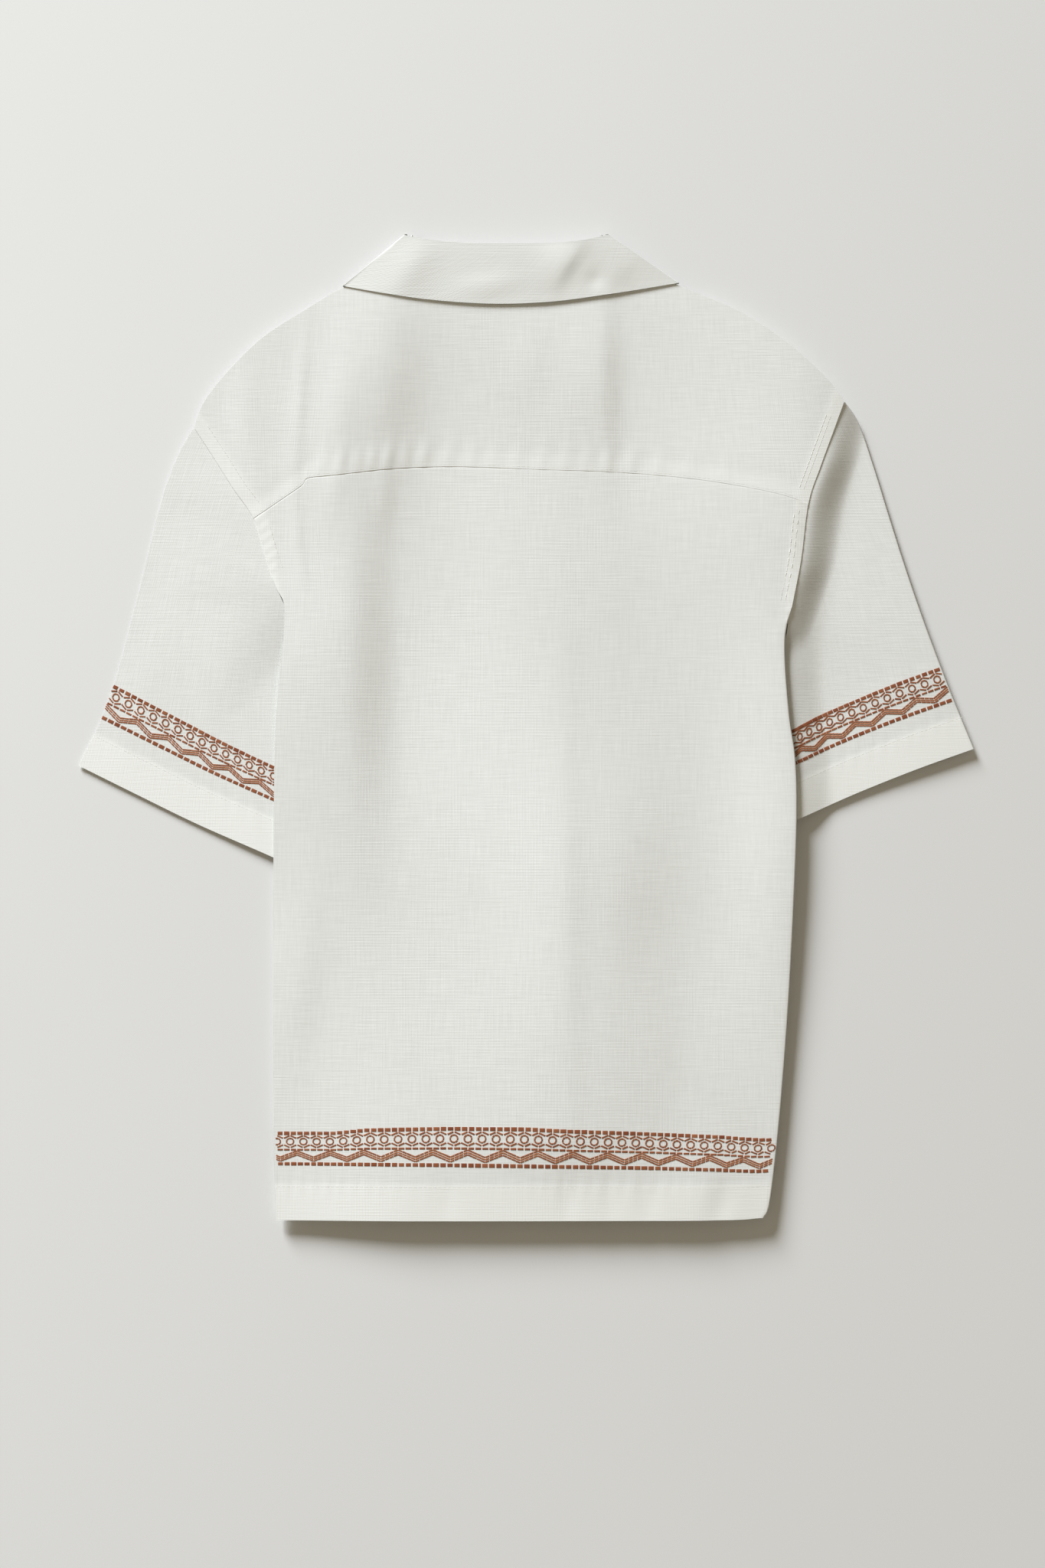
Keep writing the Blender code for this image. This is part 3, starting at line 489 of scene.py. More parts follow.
def placket(x):
    """1 along the buttons, 0 well away from them."""
    return 1 - ease(*OFF_PLACKET, np.abs(np.asarray(x) - PLACKET_X))


# %% Ridges of the back and the yoke
RIDGES = [
    # crest x, crest y, length, rise, fall, height, degrees
    (-146, 44, 125, 80, 34, 0.8, 90),  # the left tuck's inner edge, over the sleeve
    (-136, 56, 125, 90, 25, 2.5, 91),
    (-94, 58, 125, 26, 90, -3.2, 91),  # beyond it the back sinks onto the front
    (-120, -180, 120, 70, 70, 1, 88),
    (-172, -190, 60, 30, 16, 1, 84),
    (26, -150, 190, 80, 50, 2.8, 91),  # the placket's edge
    (28, -130, 180, 30, 13, 0.9, 91),
    (-4, 130, 170, 46, 60, 1.7, 90),
    (58, -155, 125, 80, 48, 4.5, 84),
    (88, -250, 70, 40, 30, 1.8, 88),
    (206, 170, 135, 100, 60, 7.9, 94),  # the right armhole
    (206, 10, 100, 50, 40, 3.2, 90),
    (216, 135, 34, 10, 30, -1.3, 94),
    (206, -120, 120, 46, 40, 6.8, 91),
    (58, 120, 80, 60, 30, 0.7, 90),
    (56, 262, 66, 40, 13, 2.3, 91),  # the yoke's soft drapes
    (-110, 262, 76, 40, 27, 3.2, 88),
    (-141, 236, 45, 14, 12, 0.6, 86),
    (-211, 236, 42, 14, 14, 0.9, 96),
    (2, 275, 34, 18, 14, 0.5, 84),
    (-107, 180, 26, 10, 7, 0.6, 88),
    (-170, 250, 52, 6, 3.5, 0.45, 86),
    (-172, 148, 40, 7, 4, 0.4, 95),
    (-144, 180, 22, 9, 7, 0.4, 86),
    (-180, 205, 62, 60, 50, 1.4, 90),
]
MIDDLE = 4.6  # the upper face where nothing lifts it
TUCK_RISE = 0.9
TUCK_FADE = 110.0
TUCK_END = 60.0  # above and below the side fold
HEM_REACH = 240.0
RELIEF_END = 70.0  # the ridges fade out towards the stiff hem
NECK_RISE = 3.6  # the yoke climbs over the collar's front leaves
NECK_CLIMB = (190.0, 345.0)
HEM_START = 7.0
HEM_STEPS = [(-196, -85, 4.5), (122, 184, -2.2)]  # from x to x the hem climbs this much


def relief(x, y, ridges):
    """The sum of soft ridges, each with its own rise and fall."""
    total = 0.0
    for crest_x, crest_y, length, rise, fall, height, degrees in ridges:
        turn = math.radians(degrees)
        run = (x - crest_x) * math.cos(turn) + (y - crest_y) * math.sin(turn)
        off = (x - crest_x) * math.sin(turn) - (y - crest_y) * math.cos(turn)
        width = np.where(off < 0, rise, fall)
        total = total + height * np.exp(-((run / length) ** 2) - (off / width) ** 2)
    return total


def hem_depth(x, y):
    return y - np.interp(x, HEM_LINE[:, 0], HEM_LINE[:, 1])


def hem_height(x):
    """The doubled hem is stiff, so it stands nearly level along the whole shirt."""
    level = HEM_START
    for start, end, rise in HEM_STEPS:
        level = level + rise * ease(start, end, x)
    return level


def back_level(x, y):
    """The upper face of the back and the yoke."""
    x, y = np.asarray(x, float), np.asarray(y, float)
    level = MIDDLE + NECK_RISE * ease(*NECK_CLIMB, y)
    for side in (LEFT, RIGHT):
        near = 1 - ease(0.0, TUCK_FADE, side.inside(x, y))
        level = level + TUCK_RISE * near * (1 - ease(side.fold_y - TUCK_END, side.fold_y + TUCK_END, y))
    depth = hem_depth(x, y)
    level = level + (hem_height(x) - level) * (1 - ease(0.0, HEM_REACH, depth))
    return level + relief(x, y, RIDGES) * ease(0.0, RELIEF_END, depth)


# %% How the hidden layers follow
EDGE_SPRING = (2.0, 46.0)  # how far in the edges stay off the floor
SHOULDERS = [smooth_line(LEFT_SHOULDER), smooth_line(RIGHT_SHOULDER)]


def lifted(level, top, layers, inset):
    """A hidden layer's height: close under the top at a sprung edge, at its own level inside."""
    at_edge = np.maximum(top - layers * LAYER_STEP, level)
    return level + (at_edge - level) * (1 - ease(*EDGE_SPRING, inset))


def from_line(line, x, y):
    """How far points lie from a line."""
    start, end = line[:-1], line[1:]
    spots = np.stack([np.ravel(x), np.ravel(y)], axis=1)[:, None]
    run = end - start
    t = np.clip(((spots - start) * run).sum(2) / (run**2).sum(1), 0.0, 1.0)
    gaps = np.linalg.norm(spots - (start + t[..., None] * run), axis=2)
    return gaps.min(1).reshape(np.shape(x))


def from_top(x, y):
    """How far a point lies below the shoulders' edges."""
    return np.minimum(*[from_line(line, np.asarray(x, float), np.asarray(y, float)) for line in SHOULDERS])


LAP = 1.9  # the right front lies this much over the left one at the buttons
UNDER_BACK = 0.25
FRONT_LAYERS = 0.5  # how many layer steps a front lies under the back at its edges
CHEST = (150.0, 200.0)  # from here up a front rises with the yoke
SHOULDER_SPRING = (2.0, 60.0)


def front_level(x, y, room):
    """The inner face of a front, which is its upper one here; at the sides it rises with the back."""
    level = FLOOR_CLEAR + CLOTH + lift(x, y) + 2 * LAYER_STEP * tucked(x, y) + room * placket(x)
    top = back_level(x, y) - CLOTH
    for side in (LEFT, RIGHT):
        level = lifted(level, top, FRONT_LAYERS, np.maximum(side.inside(x, y), 0.0))
    near_top = ease(*CHEST, y) * (1 - ease(*SHOULDER_SPRING, from_top(x, y)))
    level = level + np.maximum(top - FRONT_LAYERS * LAYER_STEP - level, 0.0) * near_top
    under = top - UNDER_BACK - (PLACKET_ROOM + LAP - room) / 2 * placket(x)
    return np.maximum(np.minimum(level, under), FLOOR_CLEAR + CLOTH)


for probe_y in (300, 100, -100, -300):
    heights = back_level(np.array([-188, -137, -90, -40, 26, 110, 170, 198]), probe_y)
    print(f"y {probe_y}: heights across the back", *[f"{height:.1f}" for height in heights])

# %% [markdown]
# ## One way to make every sheet of cloth
#
# A sheet starts as Blender's own flat grid, as cloth starts flat on the cutting table. Each of its
# vertices is then laid where that point of the cloth lies, and its UV map keeps the cut in metres.
# Solidify gives it two faces. Where a part of the grid has no cloth, as above a tuck, its vertices
# are deleted. An attribute says where the cloth is double, because a hem looks whiter.


# %% A sheet from a grid
CREASE = math.radians(34.0)  # a pressed fold that turns more than this has a crisp edge
MERGE = 0.01 * MM
FOLD_SHADE_STEEP = (0.35, 0.8)  # of a normal's height, from a steep edge in full painted shade to cloth that lies flat, with none


def cloth_sheet(name, places, doubled=None, wall=CLOTH, middle=None):
    """A cloth piece from rows of places in millimetres; a place that is NaN has no cloth."""
    rows, columns = places.shape[:2]
    known = ~np.isnan(places[..., 0])
    filled = np.nan_to_num(places)
    run = run_across(places, columns // 2 if middle is None else middle)
    cut = np.dstack([run, filled[..., 1]]) * MM
    mesh = bmesh.new()
    bmesh.ops.create_grid(mesh, x_segments=columns - 1, y_segments=rows - 1, size=0.5)
    layer = mesh.verts.layers.float.new("doubled")
    # folded holds painted shade, filled in below from how steeply the cloth stands
    fold = mesh.verts.layers.float.new("folded")
    spare = []
    cells = {}
    for vert in mesh.verts:
        row = round((vert.co.y + 0.5) * (rows - 1))
        column = round((vert.co.x + 0.5) * (columns - 1))
        cells[vert] = (row, column)
        vert.co = filled[row, column] * MM
        vert[layer] = 0.0 if doubled is None else float(doubled[row, column])
        if not known[row, column]:
            spare.append(vert)
    uv = mesh.loops.layers.uv.new("cut")
    for face in mesh.faces:
        for loop in face.loops:
            loop[uv].uv = cut[cells[loop.vert]]
    bmesh.ops.delete(mesh, geom=spare, context="VERTS")
    bmesh.ops.remove_doubles(mesh, verts=mesh.verts, dist=MERGE)
    mesh.normal_update()
    for edge in mesh.edges:
        edge.smooth = not edge.is_boundary and edge.calc_face_angle() < CREASE
    # painted shade: the steeper the cloth stands, the darker, so that fold walls facing the lamp don't
    # shine
    for vert in mesh.verts:
        vert[fold] = 1 - float(ease(*FOLD_SHADE_STEEP, abs(vert.normal.z)))
    data = bpy.data.meshes.new(name)
    mesh.to_mesh(data)
    flat_area = sum(face.calc_area() for face in mesh.faces)
    mesh.free()
    data.materials.append(LINEN)
    data.shade_smooth()
    piece = bpy.data.objects.new(name, data)
    bpy.context.scene.collection.objects.link(piece)
    thickness = piece.modifiers.new("cloth wall", "SOLIDIFY")
    thickness.thickness = wall * MM
    thickness.offset = -1.0
    print(f"{name}: {rows} x {columns} places, {flat_area:.3f} square metres of cloth")
    return piece


# %% Lengths along a sheet, its heights and its folds
def run_across(places, middle):
    """How far each place lies along its row, with the middle column at its own x."""
    known = ~np.isnan(places[..., 0])
    filled = np.nan_to_num(places)
    steps = np.linalg.norm(np.diff(filled, axis=1), axis=2)
    steps = np.where(known[:, 1:] & known[:, :-1], steps, 0.0)
    run = np.concatenate([np.zeros((len(places), 1)), np.cumsum(steps, axis=1)], axis=1)
    return run - run[:, middle : middle + 1] + filled[:, middle : middle + 1, 0]


def raised(plan, level):
    """Plan points with their heights."""
    return np.dstack([plan[..., 0], plan[..., 1], level(plan[..., 0], plan[..., 1])])


FOLD_STEPS = 9
TIP = 0.12  # how far a pressed fold takes to turn down
ROUND_TIP = 1.3  # the same for the folds on the right, which were left softer


def tip_of(side):
    return TIP if side is LEFT else ROUND_TIP


def fold_arc(turn, high, low, lower, tip=TIP):
    """(distance in from the edge, height) round a pressed fold, from its upper start through turn."""
    angles = turn * np.arange(1, FOLD_STEPS + 1) / FOLD_STEPS
    start = tip * (1 - math.sin(min(turn, math.pi / 2)))
    inset = np.where(angles <= math.pi / 2, tip, lower) * (1 - np.sin(angles)) - start
    return np.column_stack([inset, (high + low) / 2 + (high - low) / 2 * np.cos(angles)])


# %% [markdown]
# ## The back
#
# The back is one piece of cloth from the yoke seam to the hem. At each side it turns under in a
# pressed fold and runs back to the hidden side seam. Rows are closer near the hem, where the cloth
# is doubled over and stitched, so that the hem's edge and its small puckers can be shaped.

# %% The back's sheet
HEM_BAND = 27.0
FLAP_COLUMNS = 12
BACK_COLUMNS = 151
HEM_STEP = 0.12  # the doubled hem over the single cloth
HEM_STEP_EASE = 2.0
HEM_TINT_EASE = 1.0
PUCKER_PITCH = 11.0
PUCKER_HEIGHT = 0.09
PUCKER_REACH = 9.0
PUCKER_WANDER = (1.7, 23.0)  # how far their pitch wanders, and how slowly
PUCKER_SWELL = (0.4, 37.0)  # the same for their height
HEM_DENTS = [
    (31, -356, 20, 7, 8, -0.4, 88),
    (63, -356, 20, 6, 8, -0.3, 92),
    (92, -358, 18, 8, 9, -0.4, 90),
    (147, -360, 18, 9, 9, -0.6, 80),
    (-60, -357, 16, 9, 8, -0.3, 94),
]


def stitched_hem(depth, run):
    """How the doubled hem stands up, with puckers along its stitching."""
    band = HEM_STEP * (1 - ease(HEM_BAND - HEM_STEP_EASE, HEM_BAND + HEM_STEP_EASE, depth))
    wander, slowly = PUCKER_WANDER
    wave = np.sin(2 * math.pi * run / PUCKER_PITCH + wander * np.sin(run / slowly))
    swell, slowly = PUCKER_SWELL
    wave = wave * (1 - swell + swell * np.sin(run / slowly))
    pucker = PUCKER_HEIGHT * wave * np.exp(-(((depth - HEM_BAND) / PUCKER_REACH) ** 2))
    return band + pucker


def hem_double(depth):
    """1 on the doubled hem, 0 above it."""
    depth = np.nan_to_num(depth, nan=HEM_BAND * 2)
    return 1 - ease(HEM_BAND - HEM_TINT_EASE, HEM_BAND + HEM_TINT_EASE, depth)


# %% Rows that match at both sides, and how the cloth turns under
YOKE_GROOVE = 1.8  # rows on both sides of the yoke's edge
FINE_HEM = 45.0  # closer rows up to here from the hem, and from here below the side fold on
FINE_FOLD = 60.0
ROW_COUNTS = (30, 102, 22, 12, 23, 3)
LAST_TURN = 0.97  # of the side fold's opening


def matched_rows():
    """Left and right heights in step with each other: foot, hem, fold, opened fold and top."""
    stops = []
    for side, foot, top in (
        (LEFT, LEFT_SIDE[0][1], YOKE_SEAM[0][1]),
        (RIGHT, RIGHT_SIDE[0][1], YOKE_SEAM[-1][1]),
    ):
        opened = side.fold_y + TURN_ZONE
        low = (foot, foot + FINE_HEM, side.fold_y - FINE_FOLD, side.fold_y)
        stops.append((*low, opened, top - YOKE_GROOVE, top))
    heights = [[stops[0][0]], [stops[1][0]]]
    for k, count in enumerate(ROW_COUNTS):
        for rows, stop in zip(heights, stops):
            rows.extend(np.linspace(stop[k], stop[k + 1], count + 1)[1:])
    return np.array(heights[0]), np.array(heights[1]), sum(ROW_COUNTS[:3]), sum(ROW_COUNTS[:4])


def fold_turn(side, y):
    """How far round the side fold the back's cloth goes at height y."""
    return math.pi * (1 - float(np.clip((y - side.fold_y) / TURN_ZONE, 0.0, LAST_TURN)))


# %% Felled armhole seams, and the groove under the yoke's edge
FELL = 10.5  # width of the felled seam
FELL_TAPER = 55.0  # it runs to a point at the side fold
FELL_EDGE = 1.0
FELL_STEP = 0.15
FELL_TINT = 0.7
FELL_PUCKER = (0.05, 0.14)  # at the left armhole, and at the right one, which is more drawn up
FELL_PITCH = 9.0
FELL_SLANT = 0.7  # the armhole leans, and its puckers with it
YOKE_DIP = (0.22, 0.08)  # the back dips under the yoke's edge, more on the left
YOKE_DIP_CHANGE = (-90.0, 40.0)
UNDER_YOKE = (-1.5, -0.5)  # from the yoke's edge
ARMHOLE_START = 4.0  # below the side fold
ARMHOLES = [side.edge[side.edge[:, 1] > side.fold_y - ARMHOLE_START] for side in (LEFT, RIGHT)]


def above_seam(x, y):
    return y - np.interp(x, SEAM[:, 0], SEAM[:, 1])


def felled(x, y):
    """1 on the flat-felled armhole seams, 0 elsewhere."""
    total = 0.0
    for side, line in zip((LEFT, RIGHT), ARMHOLES):
        width = (FELL + FELL_EDGE) * np.clip((y - side.fold_y) / FELL_TAPER, 0.0, 1.0) - FELL_EDGE
        total = total + 1 - ease(width - FELL_EDGE, width + FELL_EDGE, from_line(line, x, y))
    return total


def yoke_dip(x):
    return YOKE_DIP[0] + (YOKE_DIP[1] - YOKE_DIP[0]) * ease(*YOKE_DIP_CHANGE, x)


def back_face(x, y):
    """The back's upper face with its hem, its puckers and its felled armholes."""
    level = back_level(x, y) + stitched_hem(hem_depth(x, y), x) + relief(x, y, HEM_DENTS)
    puckers = np.sin(2 * math.pi * (y + FELL_SLANT * np.abs(x)) / FELL_PITCH)
    puckers = np.where(x < 0, *FELL_PUCKER) * puckers
    return level + (FELL_STEP + puckers) * felled(x, y) - yoke_dip(x) * ease(*UNDER_YOKE, above_seam(x, y))


# %% The back laid out
def back_places():
    """Rows of places from the hem up, each from one hidden side seam to the other."""
    left_y, right_y, fold_row, open_row = matched_rows()
    edges = []
    for side, ys in ((LEFT, left_y), (RIGHT, right_y)):
        insets = [tip_of(side) * math.sin(min(fold_turn(side, y), math.pi / 2)) for y in ys]
        insets[open_row:] = [0.0] * (len(ys) - open_row)
        edges.append(np.array([side.point(y, -side.out * q) for y, q in zip(ys, insets)]))
    left, right = edges
    hem = even(smooth_line([left[0], *HEM[1:-1], right[0]]), BACK_COLUMNS)
    plan = patch(hem, even(SEAM, BACK_COLUMNS), left, right, shares(left_y))
    panel = raised(plan, back_face)
    flap = FLAP_COLUMNS + FOLD_STEPS
    places = np.full((len(left_y), 2 * flap + BACK_COLUMNS, 3), np.nan)
    places[:, flap : flap + BACK_COLUMNS] = panel
    for side, ys, column in ((LEFT, left_y, 0), (RIGHT, right_y, -1)):
        for row in range(open_row):
            y = ys[row]
            edge_x = side.point(y)[0]
            top = panel[row, column, 2]
            reach = np.linspace(BACK_FOLD, BACK_FOLD + side.tuck_width(y), FLAP_COLUMNS + 1)
            flap_z = lifted(lift(edge_x - side.out * reach, y) + FLOOR_CLEAR, top - CLOTH, 3, reach)
            arc = fold_arc(fold_turn(side, y), top, flap_z[0], BACK_FOLD, tip_of(side))
            points = [(edge_x - side.out * q, y, z) for q, z in arc]
            if row <= fold_row:
                points += [(edge_x - side.out * q, y, z) for q, z in zip(reach[1:], flap_z[1:])]
            if side is LEFT:
                places[row, flap - len(points) : flap] = points[::-1]
            else:
                places[row, flap + BACK_COLUMNS : flap + BACK_COLUMNS + len(points)] = points
    return places


BACK_PLACES = back_places()
back_depth = BACK_PLACES[..., 1] - LEFT_SIDE[0][1]
back_fell = FELL_TINT * felled(*np.moveaxis(np.nan_to_num(BACK_PLACES), 2, 0)[:2])
back_double = np.maximum(hem_double(back_depth), back_fell)
back = cloth_sheet("back_cloth", BACK_PLACES, back_double)

# %% [markdown]
# ## The yoke
#
# The yoke is cut in one piece with the tops of the shoulders. It lies over the back's upper edge,
# folds over each shoulder and ends at a seam a little way down the front. Its columns run from the
# yoke seam up to the shoulder, so that the cloth turns over square to its edge. Just above the seam
# lie its turned-in allowances, so it is double there, and the stitching draws it into small puckers.

# %% The yoke's sheet
YOKE_FOLD = 2.8
YOKE_LAP = 0.5  # the yoke's edge over the back's
YOKE_DOUBLE = 0.08  # how much its turned-in allowances raise it
YOKE_ALLOWANCE = 11.0
YOKE_TINT_EDGE = (YOKE_ALLOWANCE - 1.5, YOKE_ALLOWANCE + 1.5)
YOKE_FADE = (2.0, 16.0)
YOKE_TINTS = (0.2, 0.6)  # how double the allowances and the felled seams look
YOKE_ROWS = ((0.1, 0.0125), (1.0, 0.02))  # up to a share of the way, about how far apart
SHOULDER_COLUMNS = 60
NECK_COLUMNS = 50
YOKE_UNDER = 8
YOKE_PUCKER_RISE = 1.6
YOKE_PUCKER_SINK = 0.1
YOKE_PUCKER_REACH = 9.0  # up the yoke
YOKE_PUCKERS = [
    # x, width, height
    (-153, 5, 0.30), (-140, 4, 0.35), (-127, 4.5, 0.30), (-116, 4, 0.40), (-104, 4.5, 0.45),
    (-91, 4, 0.30), (-77, 4.5, 0.40), (-58, 5, 0.22), (-40, 4.5, 0.20), (-24, 5, 0.16),
    (-6, 5, 0.14), (13, 5, 0.16), (31, 5, 0.18), (47, 4.5, 0.20), (62, 4.5, 0.30),
    (80, 5, 0.28), (101, 5, 0.18), (124, 6, 0.14), (150, 6, 0.12),
]


def yoke_columns(shoulder, neck):
    """Each yoke column's upper point, its direction down the yoke and its lower point."""
    lower = along(SEAM, np.linspace(0.0, 1.0, 2 * shoulder + neck + 1))
    left = even(smooth_line(LEFT_SHOULDER), shoulder + 1)
    middle = even(smooth_line(BACK_NECKLINE), neck + 1)
    right = even(smooth_line(RIGHT_SHOULDER), shoulder + 1)
    upper = np.vstack([left, middle[1:-1], right])
    inward = lower - upper
    return upper, inward / np.linalg.norm(inward, axis=1)[:, None], lower


def yoke_level(x, y):
    """The yoke's upper face, a little over the back along their seam."""
    rise = above_seam(x, y)
    puckers = sum(h * np.exp(-(((x - mid) / width) ** 2)) for mid, width, h in YOKE_PUCKERS)
    stepped = YOKE_DOUBLE * (1 - ease(*YOKE_FADE, rise))
    drawn_up = YOKE_PUCKER_RISE * (puckers - YOKE_PUCKER_SINK)
    drawn_up = drawn_up * np.exp(-(((rise - YOKE_PUCKER_REACH) / YOKE_PUCKER_REACH) ** 2))
    return back_level(x, y) + stepped + FELL_STEP * felled(x, y) + drawn_up


# %% The yoke laid out
def yoke_sheet():
    """The yoke with its columns turned over the shoulders."""
    upper, inward, lower = yoke_columns(SHOULDER_COLUMNS, NECK_COLUMNS)
    last = len(upper) - 1
    on_shoulder = np.zeros(last + 1, bool)
    on_shoulder[: SHOULDER_COLUMNS + 1] = True
    on_shoulder[last - SHOULDER_COLUMNS :] = True
    top = upper + inward * np.where(on_shoulder, TIP, 0.0)[:, None]
    bottom = lower - np.array([0.0, YOKE_LAP])
    v = steps_between(0.0, *YOKE_ROWS)
    tips = []
    for side, column in ((LEFT, 0), (RIGHT, -1)):
        ys = bottom[column, 1] + (top[column, 1] - bottom[column, 1]) * v
        line = np.array([side.point(y) for y in ys])
        fade = v[:, None]
        tips.append(line + (1 - fade) * (bottom[column] - line[0]) + fade * (top[column] - line[-1]))
    panel = raised(patch(bottom, top, tips[0], tips[1], v), yoke_level)
    rows = len(v)
    places = np.full((rows + FOLD_STEPS + YOKE_UNDER, last + 1, 3), np.nan)
    places[:rows] = panel
    for column in np.flatnonzero(on_shoulder):
        edge, way = upper[column], inward[column]
        top_z = panel[-1, column, 2]
        reach = np.linspace(YOKE_FOLD, FORWARD_SEAM, YOKE_UNDER + 1)
        under = edge + way * reach[:, None]
        under_z = lifted(lift(under[:, 0], under[:, 1]) + FLOOR_CLEAR, top_z - CLOTH, 1, reach)
        for step, (q, z) in enumerate(fold_arc(math.pi, top_z, under_z[0], YOKE_FOLD)):
            places[rows + step, column] = (*(edge + way * q), z)
        places[rows + FOLD_STEPS :, column] = np.column_stack([under, under_z])[1:]
    flat = np.nan_to_num(places)
    double = np.zeros(places.shape[:2])
    rise = above_seam(flat[:rows, :, 0], flat[:rows, :, 1])
    seam_tint, fell_tint = YOKE_TINTS
    double[:rows] = seam_tint * (1 - ease(*YOKE_TINT_EDGE, rise))
    double[:rows] = np.maximum(double[:rows], fell_tint * felled(flat[:rows, :, 0], flat[:rows, :, 1]))
    return cloth_sheet("yoke_cloth", places, double)


yoke = yoke_sheet()

# %% [markdown]
# ## The two fronts
#
# The fronts lie on the floor. They are hidden from above, but they show from below and through the
# hem, so they have their own sheets: a straight edge at the buttons, the side folded and tucked
# under with the back, and the forward shoulder seam at the top.

# %% The fronts' sheets
FRONT_COLUMNS = 56
FRONT_SEAM_GAP = 0.35
HEM_ROW = 2.5  # between the rows near the hem
FRONT_ROW = 5.0
CORNER_CLEAR = 0.5  # from the neckline's last point to the corner


def mirrored(point):
    return (2 * NECK_X - point[0], point[1])


def forward_seam(side, shoulder=9, neck=8):
    """A front's shoulder edge, from the armhole to the neckline, just clear of the yoke."""
    upper, inward, _ = yoke_columns(shoulder, neck)
    edge = upper + inward * (FORWARD_SEAM + FRONT_SEAM_GAP)
    return edge[: shoulder + 1] if side is LEFT else edge[: -shoulder - 2 : -1]


def neckline_edge(side):
    """The front neckline, from a shoulder seam's end to past the middle."""
    points = FRONT_NECKLINE if side is LEFT else [mirrored(p) for p in FRONT_NECKLINE]
    return smooth_line([forward_seam(side)[-1], *points])


def front_edge(side, y):
    """A front's edge: at its fold's start where it is folded, and at the armhole above."""
    folded = 1 - float(ease(side.fold_y + TURN_ZONE, side.fold_y + 2 * TURN_ZONE, y))
    inset = FRONT_SEAM_GAP + (BACK_FOLD - FRONT_SEAM_GAP) * folded
    return side.point(y, -side.out * inset)


# %% The fronts laid out
def front_sheet(name, side, room):
    """One front, its side folded and tucked; room is what the placket needs under it."""
    seam = forward_seam(side)
    centre_x = PLACKET_X - side.out * PLACKET_HALF
    neckline = neckline_edge(side)
    neckline = neckline[side.out * (neckline[:, 0] - centre_x) > CORNER_CLEAR]
    corner = (centre_x, neckline[-1, 1])
    top = even(np.vstack([seam, neckline[1:], [corner]]), FRONT_COLUMNS + 1)
    foot = LEFT_SIDE[0][1] if side is LEFT else RIGHT_SIDE[0][1]
    low_y = steps_between(foot, (foot + FINE_HEM, HEM_ROW), (side.fold_y, FRONT_ROW))
    high_y = steps_between(side.fold_y, (seam[0][1], FRONT_ROW))
    low = np.array([np.linspace(front_edge(side, y), (centre_x, y), FRONT_COLUMNS + 1) for y in low_y])
    armhole = np.array([front_edge(side, y) for y in high_y])
    armhole[-1] = seam[0]
    v = shares(high_y)
    centre = low[-1][-1] + v[:, None] * (top[-1] - low[-1][-1])
    plan = np.vstack([low, patch(low[-1], top, armhole, centre, v)[1:]])
    panel = raised(plan, lambda x, y: front_level(x, y, room))
    flap = FOLD_STEPS + FLAP_COLUMNS
    places = np.full((len(plan), FRONT_COLUMNS + 1 + flap, 3), np.nan)
    places[:, flap:] = panel
    for row, y in enumerate(low_y):
        edge = side.point(y)[0] - side.out * (BACK_FOLD - TIP)
        top = float(back_level(side.point(y, -side.out * TIP)[0], y)) - CLOTH
        reach = np.linspace(BACK_FOLD, BACK_FOLD + side.tuck_width(y), FLAP_COLUMNS + 1)
        xs = side.point(y)[0] - side.out * reach
        flap_z = lifted(lift(xs, y) + FLOOR_CLEAR + LAYER_STEP, top, 2, reach)
        arc = fold_arc(math.pi, panel[row, 0, 2], flap_z[0], FRONT_FOLD)
        points = [(edge - side.out * q, y, z) for q, z in arc]
        points += [(x, y, z) for x, z in zip(xs[1:], flap_z[1:])]
        places[row, :flap] = points[::-1]
    double = hem_double(places[..., 1] - foot)
    if side is RIGHT:
        places = places[:, ::-1]
        double = double[:, ::-1]
    return cloth_sheet(name, places, double), places


left_front, LEFT_FRONT_PLACES = front_sheet("left_front_cloth", LEFT, PLACKET_ROOM)
right_front, RIGHT_FRONT_PLACES = front_sheet("right_front_cloth", RIGHT, PLACKET_ROOM + LAP)

# %% [markdown]
# ## The sleeves
#
# A short sleeve is a tube. Laid flat, it is two layers joined by a fold along its outer edge and by
# another at the underarm, which lies hidden under the body. The left sleeve lies low and flat. The
# right one starts high at the body's raised edge, drops beside it and rises again towards its outer
# edge, and that drop holds the deepest shadow of the picture.

# %% How high the sleeves lie
SEAM_DROP = 0.1  # below the body's cloth
LEFT_SLEEVE_FORMS = [
    (-272, 60, 90, 20, 30, 0.5, 70),
    (-235, 20, 70, 25, 25, 0.5, 75),
]
LEFT_FORMS_FROM = (5.0, 40.0)  # from the body's edge
LEFT_CLEAR = 0.3
LEFT_SLOPE = 95.0  # from the seam down
LEFT_SEWN_END = (-45.0, -1.2)  # from the side fold, and more for each mm beyond the body's edge
LEFT_SEWN_START = (TURN_ZONE, 0.8)
LEFT_BESIDE = 1.2  # the left sleeve climbs towards the body
LEFT_BESIDE_REACH = (70.0, 30.0)  # over the sleeve, and under the body
RIGHT_SLEEVE_FORMS = [
    (262, 90, 80, 25, 26, 0.6, 112),
    (282, 30, 40, 8, 9, 0.25, 20),
]
RIGHT_FORMS_FROM = (15.0, 50.0)
STRIP_WIDTH = [(64, -9), (90, -5), (120, -1), (175, 1.5), (204, 0.5), (235, -4), (247, -6)]
STRIP_DROP = 28.0
STRIP_END = (-6.0, 12.0)  # from the side fold, as the stretches below are
RIGHT_VALLEY = (0.2, 1.1)  # the share of it low down, and how far it lies over the stack
RIGHT_VALLEY_CHANGE = (-70.0, 20.0)
RIGHT_VALLEY_EDGE = (-8.0, 8.0)  # from the body's edge
RIGHT_CUFF_RISE = 1.0
RIGHT_CUFF_REACH = 110.0
RIGHT_BESIDE = 5.2  # below the armhole the right sleeve slopes down from the body's edge
RIGHT_BESIDE_REACH = (29.0, 20.0)
RIGHT_BESIDE_END = (-25.0, 45.0)
RIGHT_OUTER_RISE = 1.6
RIGHT_OUTER_FROM = (30.0, 120.0)


